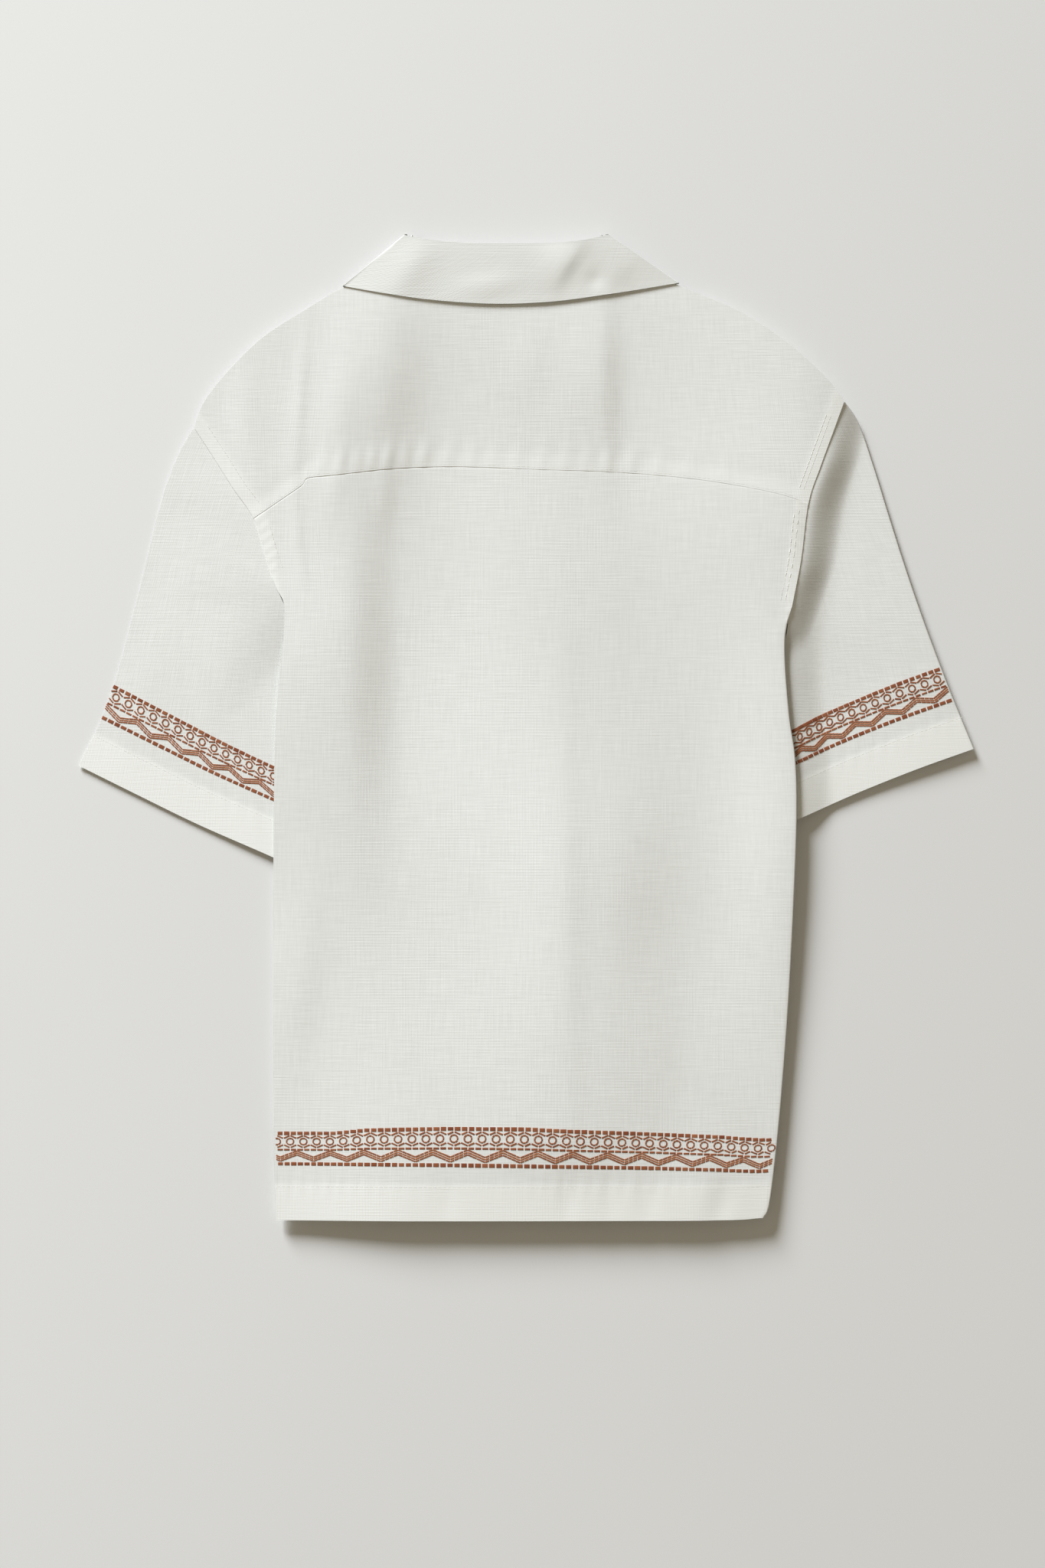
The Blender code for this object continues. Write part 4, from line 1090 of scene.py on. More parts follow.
def seam_height(side, y):
    """How high the body's edge lies, where the sleeve is sewn on."""
    x = np.interp(y, side.edge[:, 1], side.edge[:, 0])
    return back_level(x, y) - CLOTH - SEAM_DROP


def beside(height, reach, off):
    """A climb towards the body's edge, and down again under it."""
    over, under = reach
    return height * (1 - ease(0.0, over, off)) * (1 - ease(0.0, under, -off))


def past_fold(stretch, y):
    """Rises from 0 to 1 over a stretch measured from the right side fold."""
    return ease(RIGHT_FOLD_Y + stretch[0], RIGHT_FOLD_Y + stretch[1], y)


def left_sleeve_level(x, y):
    """Low and flat, rising softly to the armhole seam."""
    off = -LEFT.inside(x, y)
    spread = np.maximum(off, 0.0)
    end, start = (near + more * spread for near, more in (LEFT_SEWN_END, LEFT_SEWN_START))
    sewn = (1 - ease(0.0, LEFT_SLOPE, off)) * ease(end, start, y - LEFT_FOLD_Y)
    low = SLEEVE_STACK + LEFT_CLEAR + beside(LEFT_BESIDE, LEFT_BESIDE_REACH, off)
    low = low + relief(x, y, LEFT_SLEEVE_FORMS) * ease(*LEFT_FORMS_FROM, off)
    return low + (seam_height(LEFT, y) - low) * sewn


def right_sleeve_level(x, y):
    """Up at the seam, then low beside the body, and higher again towards the outer edge."""
    off = -RIGHT.inside(x, y)
    strip = np.interp(y, *np.array(STRIP_WIDTH).T)
    sewn = (1 - ease(strip, strip + STRIP_DROP, off)) * past_fold(STRIP_END, y)
    by_cuff = 1 - ease(0.0, RIGHT_CUFF_REACH, from_line(RIGHT.cuff, x, y))
    least, whole = RIGHT_VALLEY
    valley = whole * (least + (1 - least) * past_fold(RIGHT_VALLEY_CHANGE, y))
    low = SLEEVE_STACK + (valley + RIGHT_CUFF_RISE * by_cuff) * ease(*RIGHT_VALLEY_EDGE, off)
    low = low + beside(RIGHT_BESIDE, RIGHT_BESIDE_REACH, off) * (1 - past_fold(RIGHT_BESIDE_END, y))
    forms = relief(x, y, RIGHT_SLEEVE_FORMS) * ease(*RIGHT_FORMS_FROM, off)
    low = low + RIGHT_OUTER_RISE * ease(*RIGHT_OUTER_FROM, off) + forms
    return low + (seam_height(RIGHT, y) - low) * sewn


# %% The sleeves laid out as tubes
SLEEVE_FOLD = 2.6
SLEEVE_LAP = 0.7  # the sleeve's edge goes under the body's
SLEEVE_COLUMNS = 64
SLEEVE_ROWS = ((0.2, 0.009), (0.7, 0.018), (0.86, 0.01), (1.0, 0.0045))
ARMHOLE_POINTS = 14
HANG_REACH = 60.0  # how far in the under layer hangs from the outer fold
FINE = 121  # points along an edge before it is divided


def sleeve_places(side, level):
    """Rings of places round the tube, from the hem up to the armhole."""
    fold = side.point(side.fold_y)
    seam = [p for p in side.edge[::-1] if p[1] > side.fold_y] + [fold]
    armhole = smooth_line(even(np.vstack([seam, side.tuck[1][None]]), ARMHOLE_POINTS))
    armhole = armhole - np.array([side.out * SLEEVE_LAP, 0.0])
    v = steps_between(0.0, *SLEEVE_ROWS)
    outer = side.outer.copy()
    outer[0] = armhole[0]
    outer = along(outer, 1 - v)
    under = armhole[-1] + (side.cuff[-1] - armhole[-1]) * (1 - v)[:, None]
    plan = patch(even(side.cuff, FINE), even(armhole, FINE), outer, under, v)
    rings = []
    for line in plan:
        if side is RIGHT:
            line = line[::-1]
        width = np.linalg.norm(np.diff(line, axis=0), axis=1).sum()
        across = along(line, np.linspace(TIP / width, 1 - tip_of(side) / width, SLEEVE_COLUMNS))
        below = along(line, np.linspace(1 - SLEEVE_FOLD / width, SLEEVE_FOLD / width, SLEEVE_COLUMNS))
        depth = from_line(side.cuff, across[:, 0], across[:, 1])
        tops = level(across[:, 0], across[:, 1]) + stitched_hem(depth, across[:, 0])
        run = (line[-1] - line[0]) / np.linalg.norm(line[-1] - line[0])
        reach = np.linspace(SLEEVE_FOLD, width - SLEEVE_FOLD, SLEEVE_COLUMNS)
        outer_top = tops[0] if side is LEFT else tops[-1]
        hang = max(outer_top - 2 * LAYER_STEP - FLOOR_CLEAR, 0.0)
        from_outer = reach[::-1] if side is LEFT else reach
        lows = FLOOR_CLEAR + hang * (1 - ease(0.0, HANG_REACH, from_outer))
        ring = [(x, y, z) for (x, y), z in zip(across, tops)]
        for q, z in fold_arc(math.pi, tops[-1], lows[0], SLEEVE_FOLD, tip_of(side)):
            ring.append((*(line[-1] - run * q), z))
        ring += [(x, y, z) for (x, y), z in zip(below[1:], lows[1:])]
        for q, z in fold_arc(math.pi, tops[0], lows[-1], SLEEVE_FOLD)[-2::-1]:
            ring.append((*(line[0] + run * q), z))
        ring.append(ring[0])
        rings.append(ring)
    return np.array(rings)


def sleeve_sheet(name, side, places):
    depth = from_line(side.cuff, places[..., 0], places[..., 1])
    return cloth_sheet(name, places, hem_double(depth), middle=SLEEVE_COLUMNS // 2)


LEFT_SLEEVE_PLACES = sleeve_places(LEFT, left_sleeve_level)
RIGHT_SLEEVE_PLACES = sleeve_places(RIGHT, right_sleeve_level)
left_sleeve = sleeve_sheet("left_sleeve_cloth", LEFT, LEFT_SLEEVE_PLACES)
right_sleeve = sleeve_sheet("right_sleeve_cloth", RIGHT, RIGHT_SLEEVE_PLACES)

# %% [markdown]
# ## The collar
#
# The collar is a straight band of cloth, doubled over. It is sewn to the neckline, rises as the
# stand, turns over along the roll line and falls again as the leaf. It is laid section by section:
# first one front end, flat under the shirt, then round the side fold, across the back and down to
# the other end.

# %% The collar's sheet
COLLAR_ROLL = [
    (-92.8, 371.8), (-70, 368), (-45, 365.8), (-14, 365.3), (20, 365.6), (42, 367.6), (63.2, 371.8),
]
COLLAR_LEAF = [
    (-139.2, 333.5), (-108.5, 328.3), (-73.7, 323.4), (-27.3, 320.2), (19.1, 321.6),
    (65.5, 327.7), (116.6, 335.8),
]
COLLAR_TURN = 0.6
COLLAR_HALF = 1.7
COLLAR_SIDE_HALF = 0.7  # its side folds are pressed
COLLAR_SPREAD = COLLAR_TURN + COLLAR_SIDE_HALF
COLLAR_BACK_Z = 8.9
COLLAR_FRONT_Z = COLLAR_HALF + FLOOR_CLEAR
COLLAR_SIDE_Z = 5.4  # its side folds stay off the floor
COLLAR_CLIMB = (0.35, 1.0)  # of the way from a front end to the side fold
COLLAR_UNDERCUT = 5.0  # the front part turns in below the back one
LEAF_OVER = 1.35  # the leaf's upper face over the yoke, along its edge
LEAF_CLOSING = 0.65  # less of it at the leaf's ends
LEAF_REACH = 127.0
FRONT_TAPER = 1.2  # how much thinner the front part is at its free edge
COLLAR_WALL = 1.0
NECK_EDGE = 0.95
COLLAR_FRONT = [
    ((-66.0, 337.0), (-118.0, 296.0), 0.05),
    ((-46.0, 305.0), (-97.0, 264.0), 0.24),
    ((-19.0, 281.0), (-66.0, 236.0), 0.43),
]
STAND_POINTS = 9
ROLL_POINTS = 9
LEAF_POINTS = 21
COLLAR_RIDGES = [
    (30, 368, 78, 30, 34, 2.2, 0),
    (30, 350, 20, 17, 7, 1.2, 58),
    (-28, 334, 26, 8, 9, 0.5, 8),
    (-85, 352, 24, 14, 12, 0.5, 60),
    (70, 344, 16, 12, 9, 0.4, 50),
    (52, 338, 7, 6, 6, -0.6, 70),
]


# %% One section of the collar
def collar_section(roll, leaf, neck, turn, out, low=COLLAR_SIDE_Z):
    """One section: from the neck edge up the stand, round the roll and down the leaf."""
    roll, leaf, neck = (np.array([*p, 0.0]) for p in (roll, leaf, neck))
    away = np.array([out * math.sin(turn), 0.0, math.cos(turn)])
    height = (COLLAR_BACK_Z + low) / 2 + (COLLAR_BACK_Z - low) / 2 * math.cos(turn)
    shift = np.array([out * COLLAR_TURN * math.sin(turn), 0.0, height])
    half = COLLAR_HALF * abs(math.cos(turn)) + COLLAR_SIDE_HALF * math.sin(turn)
    over = LEAF_OVER - LEAF_CLOSING * min(abs(leaf[0] - NECK_X) / LEAF_REACH, 1.0) ** 2
    drop = COLLAR_BACK_Z + COLLAR_HALF - float(back_level(leaf[0], leaf[1])) - over
    up = (roll - leaf) / np.linalg.norm(roll - leaf)
    roll = roll - up * TIP
    front_taper = FRONT_TAPER * max(-math.cos(turn), 0.0)
    leaf_taper = drop * max(math.cos(turn), 0.0)
    section = []
    for share in np.linspace(1.0, 0.0, STAND_POINTS):
        section.append(roll + (neck - roll) * share - away * (half - front_taper * share))
    for bend in np.linspace(-math.pi / 2, math.pi / 2, ROLL_POINTS + 2)[1:-1]:
        section.append(roll + up * TIP * math.cos(bend) + away * half * math.sin(bend))
    for share in np.linspace(0.0, 1.0, LEAF_POINTS):
        section.append(roll + (leaf - roll) * share + away * (half - leaf_taper * share))
    return np.array(section) + shift


# %% The collar's two front parts
NECK_GRIP = 0.02  # of the neckline, over which its direction is taken
NECK_CORNER = (1.2, 1.4)  # from the back neckline's end to the neck edge
SIDE_TURNS = 19


def front_neck_point(out, share):
    """A point of the collar's neck edge, just inside the front neckline."""
    line = neckline_edge(LEFT if out < 0 else RIGHT)
    before, point, after = along(line, [share - NECK_GRIP, share, share + NECK_GRIP])
    run = (after - before) / np.linalg.norm(after - before)
    return point + np.array([out * run[1], -out * run[0]]) * NECK_EDGE


def collar_half(out):
    """The sections of one half of the collar's front, from its end to the side fold's start."""
    corner = 0 if out < 0 else -1
    inward = np.array([-out * COLLAR_SPREAD, 0.0])
    base = [np.array(COLLAR_ROLL[corner]) + inward, np.array(COLLAR_LEAF[corner]) + inward]
    base.append(np.array(BACK_NECKLINE[corner]) + [-out * NECK_CORNER[0], NECK_CORNER[1]])
    stations = []
    for roll, leaf, share in COLLAR_FRONT[::-1]:
        ends = [mirrored(p) if out > 0 else p for p in (roll, leaf)]
        stations.append([*map(np.array, ends), front_neck_point(out, share)])
    under = inward / COLLAR_SPREAD * COLLAR_UNDERCUT
    stations.append([base[0] + under, base[1] + under, base[2]])
    lines = [smooth_line([s[k] for s in stations]) for k in range(3)]
    climb = ease(*COLLAR_CLIMB, np.linspace(0.0, 1.0, len(lines[0])))
    heights = COLLAR_FRONT_Z + (COLLAR_SIDE_Z - COLLAR_FRONT_Z) * climb
    sections = [collar_section(*points, math.pi, out, z) for *points, z in zip(*lines, heights)]
    for turn in np.linspace(math.pi, 0.0, SIDE_TURNS)[1:-1]:
        moved = under * (1 - math.cos(turn)) / 2
        sections.append(collar_section(base[0] + moved, base[1] + moved, base[2], turn, out))
    return sections, base


# %% The collar laid out
COLLAR_TINT = 0.3  # how double it looks


def collar_sheet():
    """From one front end round the back of the neck to the other."""
    left, left_base = collar_half(-1.0)
    right, right_base = collar_half(1.0)
    neck = [left_base[2], *[(x, y + NECK_EDGE) for x, y in BACK_NECKLINE[1:-1]], right_base[2]]
    rolls = even(smooth_line([left_base[0], *COLLAR_ROLL[1:-1], right_base[0]]), FINE)
    leaves = even(smooth_line([left_base[1], *COLLAR_LEAF[1:-1], right_base[1]]), FINE)
    necks = even(smooth_line(neck), FINE)
    middle = np.array([collar_section(r, e, n, 0.0, 1.0) for r, e, n in zip(rolls, leaves, necks)])
    fall = middle[:, -LEAF_POINTS:]
    fall[..., 2] += relief(fall[..., 0], fall[..., 1], COLLAR_RIDGES)
    places = np.concatenate([left, middle, right[::-1]])
    return cloth_sheet("collar_cloth", places, np.full(places.shape[:2], COLLAR_TINT), COLLAR_WALL)


collar = collar_sheet()

# %% [markdown]
# ## The embroidered borders
#
# A narrow border runs round the hem of the body and round both sleeves. It is a common counted
# pattern, worked in short blocks of stranded cotton: a row of thick dashes at the top and bottom,
# rings between small roofs, a row of thin dashes and a zigzag of three lines. The pattern is charted
# in one list of stitches, and a mapping lays each stitch on the cloth: how far along the
# hem it lies and how far from the hem's edge.

# %% The chart of one stretch of border
BORDER_WIDTH = 27.2  # between the middles of the outer rows
DASH_PITCH = 5.3  # on the body
SLEEVE_PITCH = 5.85
REPEAT = 10  # dashes in the shortest stretch that repeats whole
DASH_ROWS = [
    # depth from the top row, a stitch's length and width, its tone
    (0, 4.1, 2.8, 0.25),
    (BORDER_WIDTH, 4.1, 2.8, 0.25),
    (14.6, 4.3, 1.5, 0.35),
]
RING_DEPTH = 7.3
RING_RADIUS = 2.75
RING_STITCHES = 8
RING_STITCH = (2.0, 1.15)
RING_TONE = 0.4
ROOF_STITCH = (4.9, 1.15)
ROOF_TONE = 0.35
ROOFS = [(3.2, -24), (11.4, 24)]  # depth, and how it slants on the right of a ring
ZIGZAG_DASHES = 5  # dash pitches in one zigzag
ZIGZAG_PEAK = 17.4
ZIGZAG_FOOT = 22.9
ZIGZAG_PITCH = 3.55
ZIGZAG_STITCH = (3.3, 1.08)
ZIGZAG_LINES = [(-1.65, 0.45), (0, 0.95), (1.65, 0.45)]  # depth, and tone


def zigzag_leg(leg, pitch):
    """The stitches of one leg of the zigzag; even legs fall."""
    half = ZIGZAG_DASHES * pitch / 2
    drop = ZIGZAG_FOOT - ZIGZAG_PEAK
    slope = math.atan2(drop, half)
    falling = leg % 2 == 0
    degrees = math.degrees(-slope if falling else slope)
    count = round(math.hypot(half, drop) / ZIGZAG_PITCH)
    chart = []
    for step in range(count):
        share = (step + 0.5) / count
        depth = ZIGZAG_PEAK + drop * (share if falling else 1 - share)
        place = (leg + share) * ZIGZAG_DASHES / 2
        for line, tone in ZIGZAG_LINES:
            chart.append((place, depth + line / math.cos(slope), *ZIGZAG_STITCH, degrees, tone))
    return chart


def border_chart(dashes, pitch):
    """Stitches as (place along in dashes, depth, length, width, degrees, tone)."""
    chart = []
    for k in range(dashes):
        chart += [(k + 0.5, depth, length, width, 0.0, tone) for depth, length, width, tone in DASH_ROWS]
    for k in range(1, dashes, 2):
        for degrees in np.arange(0.0, 360.0, 360.0 / RING_STITCHES):
            turn = math.radians(degrees)
            place = k + RING_RADIUS * math.cos(turn) / pitch
            depth = RING_DEPTH - RING_RADIUS * math.sin(turn)
            chart.append((place, depth, *RING_STITCH, degrees + 90.0, RING_TONE))
        for out in (-1.0, 1.0):
            for depth, slant in ROOFS:
                chart.append((k + out * 0.5, depth, *ROOF_STITCH, out * slant, ROOF_TONE))
    for leg in range(2 * dashes // ZIGZAG_DASHES):
        chart += zigzag_leg(leg, pitch)
    return np.array(chart)


# %% From the chart to the cloth
GRIP = 0.8  # columns along, and mm up, over which a stitch's direction is taken
REACH_SPARE = 3.0
STITCH_ROUND = 0.22
STITCH_CREASE = math.radians(50.0)
FOLD_BARE = 0.9  # no stitches where the cloth is steeper than this


def hem_rows(places, reach):
    """The rows from the hem's edge up to reach, and how far up each of their places lies."""
    up = np.linalg.norm(np.diff(places, axis=0), axis=2)
    up = np.vstack([np.zeros((1, places.shape[1])), np.cumsum(np.nan_to_num(up), axis=0)])
    count = int(np.argmax(np.nanmin(up, axis=1) > reach)) + 1
    return places[:count], up[:count]


def laid_on(places, up, columns, depths):
    """Points of the cloth at fractional columns and at depths from the hem's edge."""
    low = np.clip(columns.astype(int), 0, places.shape[1] - 2)
    share = (columns - low)[:, None]
    lines = places[:, low] * (1 - share) + places[:, low + 1] * share
    climbs = up[:, low] * (1 - share[:, 0]) + up[:, low + 1] * share[:, 0]
    spots = np.empty((len(depths), 3))
    for k, depth in enumerate(depths):
        spots[k] = [np.interp(depth, climbs[:, k], lines[:, k, axis]) for axis in range(3)]
    return spots


def columns_at(along_row, run, first, last):
    """The fractional columns, between two of them, that lie this far along a row."""
    return np.interp(along_row, run[first : last + 1], np.arange(first, last + 1))


# %% One stitch, and many joined
def stitch_form():
    """One stitch, a block rounded on top, 1 long, 1 wide and 1 high."""
    mesh = bmesh.new()
    bmesh.ops.create_cube(mesh, size=1.0)
    crown = [e for e in mesh.edges if all(v.co.z > 0 for v in e.verts)]
    bmesh.ops.bevel(
        mesh, geom=crown, offset=STITCH_ROUND, segments=2, profile=0.5, affect="EDGES", material=-1
    )
    mesh.verts.index_update()
    points = np.array([v.co for v in mesh.verts])
    faces = [[v.index for v in f.verts] for f in mesh.faces]
    mesh.free()
    return points, faces


STITCH_POINTS, STITCH_FACES = stitch_form()


def stitches(name, centres, frames, sizes, tones, material):
    """All the stitches of one row or border as one joined mesh, made from arrays."""
    shaped = STITCH_POINTS[None] * sizes[:, None]
    points = centres[:, None] + np.einsum("nij,nkj->nki", frames, shaped)
    clear = (points[..., 2].min(axis=1) > 0.0) & (np.abs(frames[:, 2, 2]) > FOLD_BARE)
    points, centres, tones = points[clear], centres[clear], tones[clear]
    count = len(STITCH_POINTS)
    faces = [[v + k * count for v in face] for k in range(len(centres)) for face in STITCH_FACES]
    data = bpy.data.meshes.new(name)
    data.from_pydata((points.reshape(-1, 3) * MM).tolist(), [], faces)
    tone = data.attributes.new("tone", "FLOAT", "POINT")
    tone.data.foreach_set("value", np.repeat(tones, count))
    data.materials.append(material)
    data.shade_smooth()
    data.set_sharp_from_angle(angle=STITCH_CREASE)
    piece = bpy.data.objects.new(name, data)
    bpy.context.scene.collection.objects.link(piece)
    print(f"{name}: {len(centres)} stitches")
    return piece


def frames_from(along_row, up_row, degrees, face):
    """Axes of each stitch: along it, across it, and out of the cloth on the given face."""
    along_row = along_row / np.linalg.norm(along_row, axis=1)[:, None]
    out = np.cross(along_row, up_row)
    out = out / np.linalg.norm(out, axis=1)[:, None]
    across = np.cross(out, along_row)
    turn = np.radians(degrees)[:, None]
    length_axis = along_row * np.cos(turn) + across * np.sin(turn)
    outward = out * face
    return np.stack([length_axis, np.cross(outward, length_axis), outward], axis=2), outward


def sewn_on(places, columns, depths, degrees, face, wall, proud, height):
    """Centres and frames of stitches on a hem; face is 1 on the sheet's drawn face, else -1."""
    rows, up = hem_rows(places, float(depths.max()) + REACH_SPARE)
    middle = laid_on(rows, up, columns, depths)
    ahead = laid_on(rows, up, columns + GRIP, depths) - laid_on(rows, up, columns - GRIP, depths)
    above = laid_on(rows, up, columns, depths + GRIP) - laid_on(rows, up, columns, depths - GRIP)
    frames, outward = frames_from(ahead, above, degrees, face)
    base = wall if face < 0 else 0.0
    return middle + outward * (base + proud - height / 2), frames


# %% Where the borders run
PITCH_FOLLOWS = 0.3  # where the band is narrower its stitches are a little shorter too
STITCH_HEIGHT = 0.5
BORDER_PROUD = 0.28
FLAT_SHARE = 0.2  # of half a stitch, how far its ends may leave the cloth
BAND_REACH = 54.0  # up from the hem's edge, where the band's length is measured
BAND_STEPS = 400
WOBBLE = 0.05  # of a stitch's size
TONE_WOBBLE = 0.13
TONES = np.random.default_rng(7)
BODY_TOP = [
    (-230, 65.5), (-145, 66), (-120, 68.5), (-60, 69.8), (0, 69.6), (31, 68.2), (90, 66.4),
    (147, 64), (182, 60.8), (230, 60.8),
]
BODY_FOOT = [
    (-230, 42.8), (-145, 42.8), (-60, 42.4), (31, 41.4), (90, 40.6), (147, 39.2), (182, 37.2),
    (230, 37.2),
]
FRONT_TOP = [(-300, 67), (300, 67)]
FRONT_FOOT = [(-300, 40), (300, 40)]
LEFT_TOP = [(-400, 66.4), (-190, 63.2), (400, 65)]
RIGHT_TOP = [(-400, 65), (202, 64.6), (270, 65.6), (400, 65.2)]
SLEEVE_FOOT = [(-400, 40.8), (400, 40.4)]


def lies_flat(rows, up, along_row, depths, half, mid_run, first, last):
    """Which stitches lie on the cloth with both ends, and don't stick out past a fold."""
    heights = []
    for shift in (-half, 0.0, half):
        columns = columns_at(along_row + shift, mid_run, first, last)
        heights.append(laid_on(rows, up, columns, depths)[:, 2])
    return np.abs(heights[0] + heights[2] - 2 * heights[1]) < FLAT_SHARE * np.maximum(half, 1.0)


def bordered(name, places, top, foot, first, last, face=1.0, pitch=DASH_PITCH):
    """The border's stitches on one sheet, from the first to the last of its columns."""
    run = run_across(places, places.shape[1] // 2)
    rows, up = hem_rows(places, BAND_REACH)
    mid_run = run[len(rows) - 1]
    start, end = mid_run[first], mid_run[last]
    grid = np.linspace(start, end, BAND_STEPS)
    local = (np.interp(grid, *np.array(top).T) - np.interp(grid, *np.array(foot).T)) / BORDER_WIDTH
    paced = np.cumsum(1 / local**PITCH_FOLLOWS) * (grid[1] - grid[0])
    block = REPEAT if pitch == SLEEVE_PITCH else 1  # round a tube the pattern meets itself
    dashes = block * round(paced[-1] / (pitch * block))
    chart = border_chart(dashes, pitch)
    half = chart[:, 2] / 2 * np.abs(np.cos(np.radians(chart[:, 4])))
    along_row = np.interp(chart[:, 0] / dashes * paced[-1], paced, grid)
    tops = np.interp(along_row, *np.array(top).T)
    feet = np.interp(along_row, *np.array(foot).T)
    depths = tops - chart[:, 1] / BORDER_WIDTH * (tops - feet)
    flat = lies_flat(rows, up, along_row, depths, half, mid_run, first, last)
    chart, along_row, depths, tops, feet = (each[flat] for each in (chart, along_row, depths, tops, feet))
    columns = columns_at(along_row, mid_run, first, last)
    raised_by = (CLOTH, BORDER_PROUD, STITCH_HEIGHT)
    centres, frames = sewn_on(places, columns, depths, chart[:, 4], face, *raised_by)
    scale = (tops - feet) / BORDER_WIDTH
    wobble = TONES.normal(1.0, WOBBLE, (len(chart), 2))
    sizes = np.column_stack([
        chart[:, 2] * scale**PITCH_FOLLOWS * wobble[:, 0],
        chart[:, 3] * scale * wobble[:, 1],
        np.full(len(chart), STITCH_HEIGHT),
    ])
    tones = np.clip(chart[:, 5] + TONES.normal(0.0, TONE_WOBBLE, len(chart)), 0.0, 1.0)
    return stitches(name, centres, frames, sizes, tones, EMBROIDERY)


FLAP = FLAP_COLUMNS + FOLD_STEPS
SQUEEZED = 22  # a front's columns that lie close over its tuck
AT_PLACKET = 9
STRETCHES = {
    # sheet: its places, the first and the last column with stitches, the face they show on
    "back": (BACK_PLACES, 0, BACK_PLACES.shape[1] - 1, 1.0),
    "left_front": (LEFT_FRONT_PLACES, FLAP + SQUEEZED, FLAP + FRONT_COLUMNS - 1, -1.0),
    "right_front": (RIGHT_FRONT_PLACES, AT_PLACKET, FRONT_COLUMNS - SQUEEZED, -1.0),
    "left_sleeve": (LEFT_SLEEVE_PLACES, 0, LEFT_SLEEVE_PLACES.shape[1] - 1, 1.0),
    "right_sleeve": (RIGHT_SLEEVE_PLACES, 0, RIGHT_SLEEVE_PLACES.shape[1] - 1, 1.0),
}
BANDS = {
    "back": (BODY_TOP, BODY_FOOT, DASH_PITCH),
    "left_front": (FRONT_TOP, FRONT_FOOT, DASH_PITCH),
    "right_front": (FRONT_TOP, FRONT_FOOT, DASH_PITCH),
    "left_sleeve": (LEFT_TOP, SLEEVE_FOOT, SLEEVE_PITCH),
    "right_sleeve": (RIGHT_TOP, SLEEVE_FOOT, SLEEVE_PITCH),
}
borders = {}
for sheet, (places, first, last, face) in STRETCHES.items():
    top, foot, pitch = BANDS[sheet]
    borders[sheet] = bordered(f"{sheet}_border", places, top, foot, first, last, face, pitch)

# %% [markdown]
# ## Topstitching
#
# The hems are turned up twice and stitched about 26 mm from their edges. The armhole seams are
# felled: one row of stitches runs about 9 mm inside them, and the right one, seen in hard light,
# shows two. One more row holds the yoke down just above its edge. Each stitch is 3 mm long.

# %% Rows of stitches
STITCH_PITCH = 3.7
STITCH_SIZE = (2.9, 0.42, 0.3)
STITCH_PROUD = 0.09
HEM_PROUD = 0.03  # the hems' stitches are sunk into the cloth
HEM_STITCH_IN = 1.5  # from the band's inner edge


def hem_row(places, first, last, face):
    """One row of stitches at the hem band's inner edge."""
    run = run_across(places, places.shape[1] // 2)
    rows, up = hem_rows(places, HEM_BAND)
    mid_run = run[len(rows) - 1]
    along_row = np.arange(mid_run[first] + STITCH_PITCH, mid_run[last] - STITCH_PITCH, STITCH_PITCH)
    columns = columns_at(along_row, mid_run, first, last)
    depths = np.full(len(columns), HEM_BAND - HEM_STITCH_IN)
    return sewn_on(places, columns, depths, np.zeros(len(columns)), face, CLOTH, HEM_PROUD, STITCH_SIZE[2])


def face_row(line, face_level, proud=STITCH_PROUD):
    """Stitches along a line on the back or the yoke."""
    length = np.linalg.norm(np.diff(line, axis=0), axis=1).sum()
    places = np.arange(STITCH_PITCH, length - STITCH_PITCH, STITCH_PITCH)
    points = along(line, places / length)
    way = along(line, np.minimum(places + 1.0, length) / length) - points
    across = np.column_stack([-way[:, 1], way[:, 0]])

    def spot(offset):
        moved = points + offset
        return np.column_stack([moved, face_level(moved[:, 0], moved[:, 1])])

    ahead, above = (spot(step) - spot(-step) for step in (way, across))
    frames, outward = frames_from(ahead, above, np.zeros(len(points)), 1.0)
    return spot(np.zeros(2)) + outward * (proud - STITCH_SIZE[2] / 2), frames


def armhole_row(side, offset, low, high, face_level):
    """Stitches along the armhole's line moved into the body, between two heights."""
    line = side.edge[(side.edge[:, 1] > low) & (side.edge[:, 1] < high)]
    way = np.gradient(line, axis=0)
    way = way / np.linalg.norm(way, axis=1)[:, None]
    return face_row(line + np.column_stack([way[:, 1], -way[:, 0]]) * -side.out * offset, face_level)


def sewn_piece(name, rows):
    """Rows of stitches as one joined mesh."""
    centres = np.vstack([r[0] for r in rows])
    frames = np.vstack([r[1] for r in rows])
    sizes = np.tile(STITCH_SIZE, (len(centres), 1))
    return stitches(name, centres, frames, sizes, np.zeros(len(centres)), SEWING)


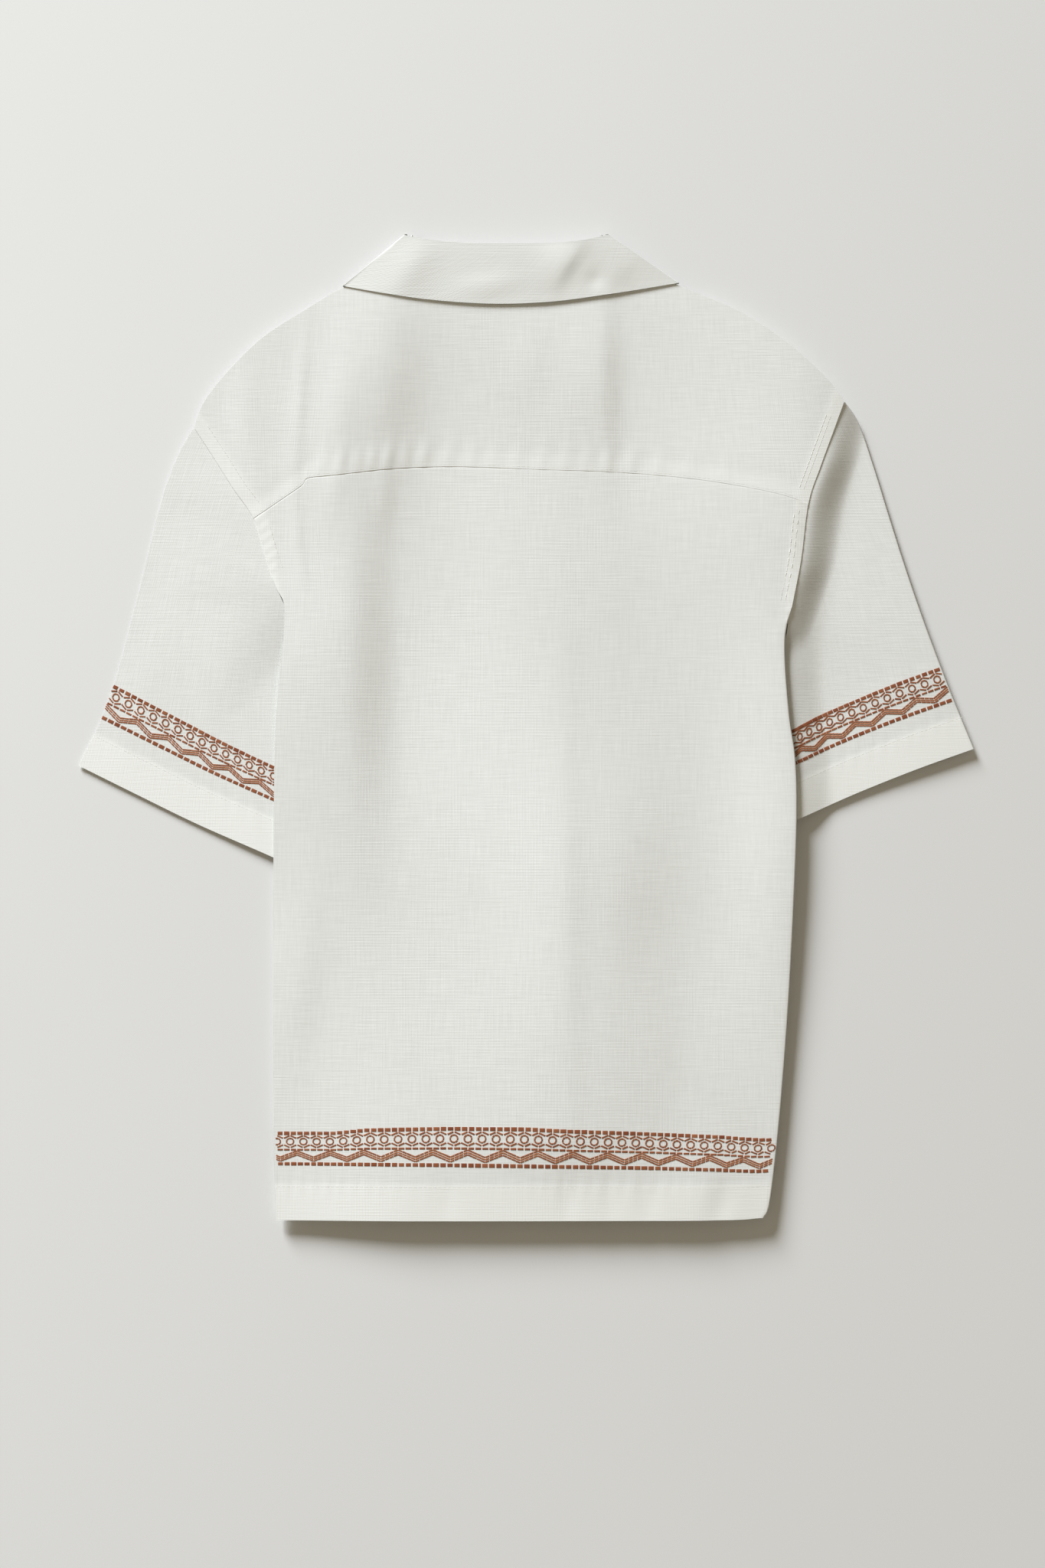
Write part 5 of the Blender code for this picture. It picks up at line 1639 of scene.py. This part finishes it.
# %% The rows of each piece
OUTER_ROW = FELL - 1.2  # in from the armhole's line
INNER_ROW = FELL - 4.6
SEAM_CLEAR = 4.0
ARMHOLE_TOP = 238.0
YOKE_ROW = 1.2  # above the yoke's edge
YOKE_ROW_SPAN = (0.008, 0.992)  # of the yoke seam
YOKE_ROW_POINTS = 60
ARMHOLE_ROWS = [
    # side, height of its yoke seam, in from the armhole, how far below that seam the back's row ends
    (LEFT, YOKE_SEAM[0][1], OUTER_ROW, SEAM_CLEAR),
    (RIGHT, YOKE_SEAM[-1][1], OUTER_ROW, SEAM_CLEAR),
    (RIGHT, YOKE_SEAM[-1][1], INNER_ROW, SEAM_CLEAR / 2),
]
yoke_line = along(SEAM, np.linspace(*YOKE_ROW_SPAN, YOKE_ROW_POINTS)) + np.array([0.0, YOKE_ROW])
rows = {
    "back": [hem_row(BACK_PLACES, 1, BACK_PLACES.shape[1] - 2, 1.0)],
    "yoke": [face_row(yoke_line, yoke_level, HEM_PROUD)],
}
for side, seam_y, offset, clear in ARMHOLE_ROWS:
    start, end = side.fold_y + TURN_ZONE, seam_y - clear
    rows["back"].append(armhole_row(side, offset, start, end, back_face))
    rows["yoke"].append(armhole_row(side, offset, seam_y + SEAM_CLEAR, ARMHOLE_TOP, yoke_level))
for sheet in ("left_front", "right_front", "left_sleeve", "right_sleeve"):
    rows[sheet] = [hem_row(*STRETCHES[sheet])]
topstitching = {sheet: sewn_piece(f"{sheet}_topstitching", sewn) for sheet, sewn in rows.items()}

# %% [markdown]
# ## What each sheet stands for
#
# Every sheet rides on the shirt's one body, takes the place of its solid and takes its finish from
# the linen. The size that each was cut to is listed with it, though nothing here reads it.

# %% Sheets on the frame
SHEETS = [
    # piece, node, width and length in metres, area in square metres
    (back, "back", (0.560, 0.570), 0.291),
    (yoke, "yoke", (0.495, 0.205), 0.075),
    (left_front, "left_front", (0.270, 0.680), 0.168),
    (right_front, "right_front", (0.270, 0.680), 0.177),
    (left_sleeve, "left_sleeve", (0.436, 0.272), 0.081),
    (right_sleeve, "right_sleeve", (0.408, 0.281), 0.066),
    (collar, "collar", (0.440, 0.086), 0.036),
]
for piece, node, flat, area in SHEETS:
    sewn = [made[node] for made in (borders, topstitching) if node in made]
    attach(piece, "root")
    for part in sewn:
        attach(part, "root")
    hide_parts(node)

for name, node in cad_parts.items():
    if name.startswith("button"):
        node.data.materials.clear()
        node.data.materials.append(SHELL)

# %% Sizes and the last line
visual_low, visual_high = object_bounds()
drawn_low, drawn_high = ([round(c / MM, 1) for c in corner] for corner in (visual_low, visual_high))
print("drawn from", drawn_low, "to", drawn_high, "mm")
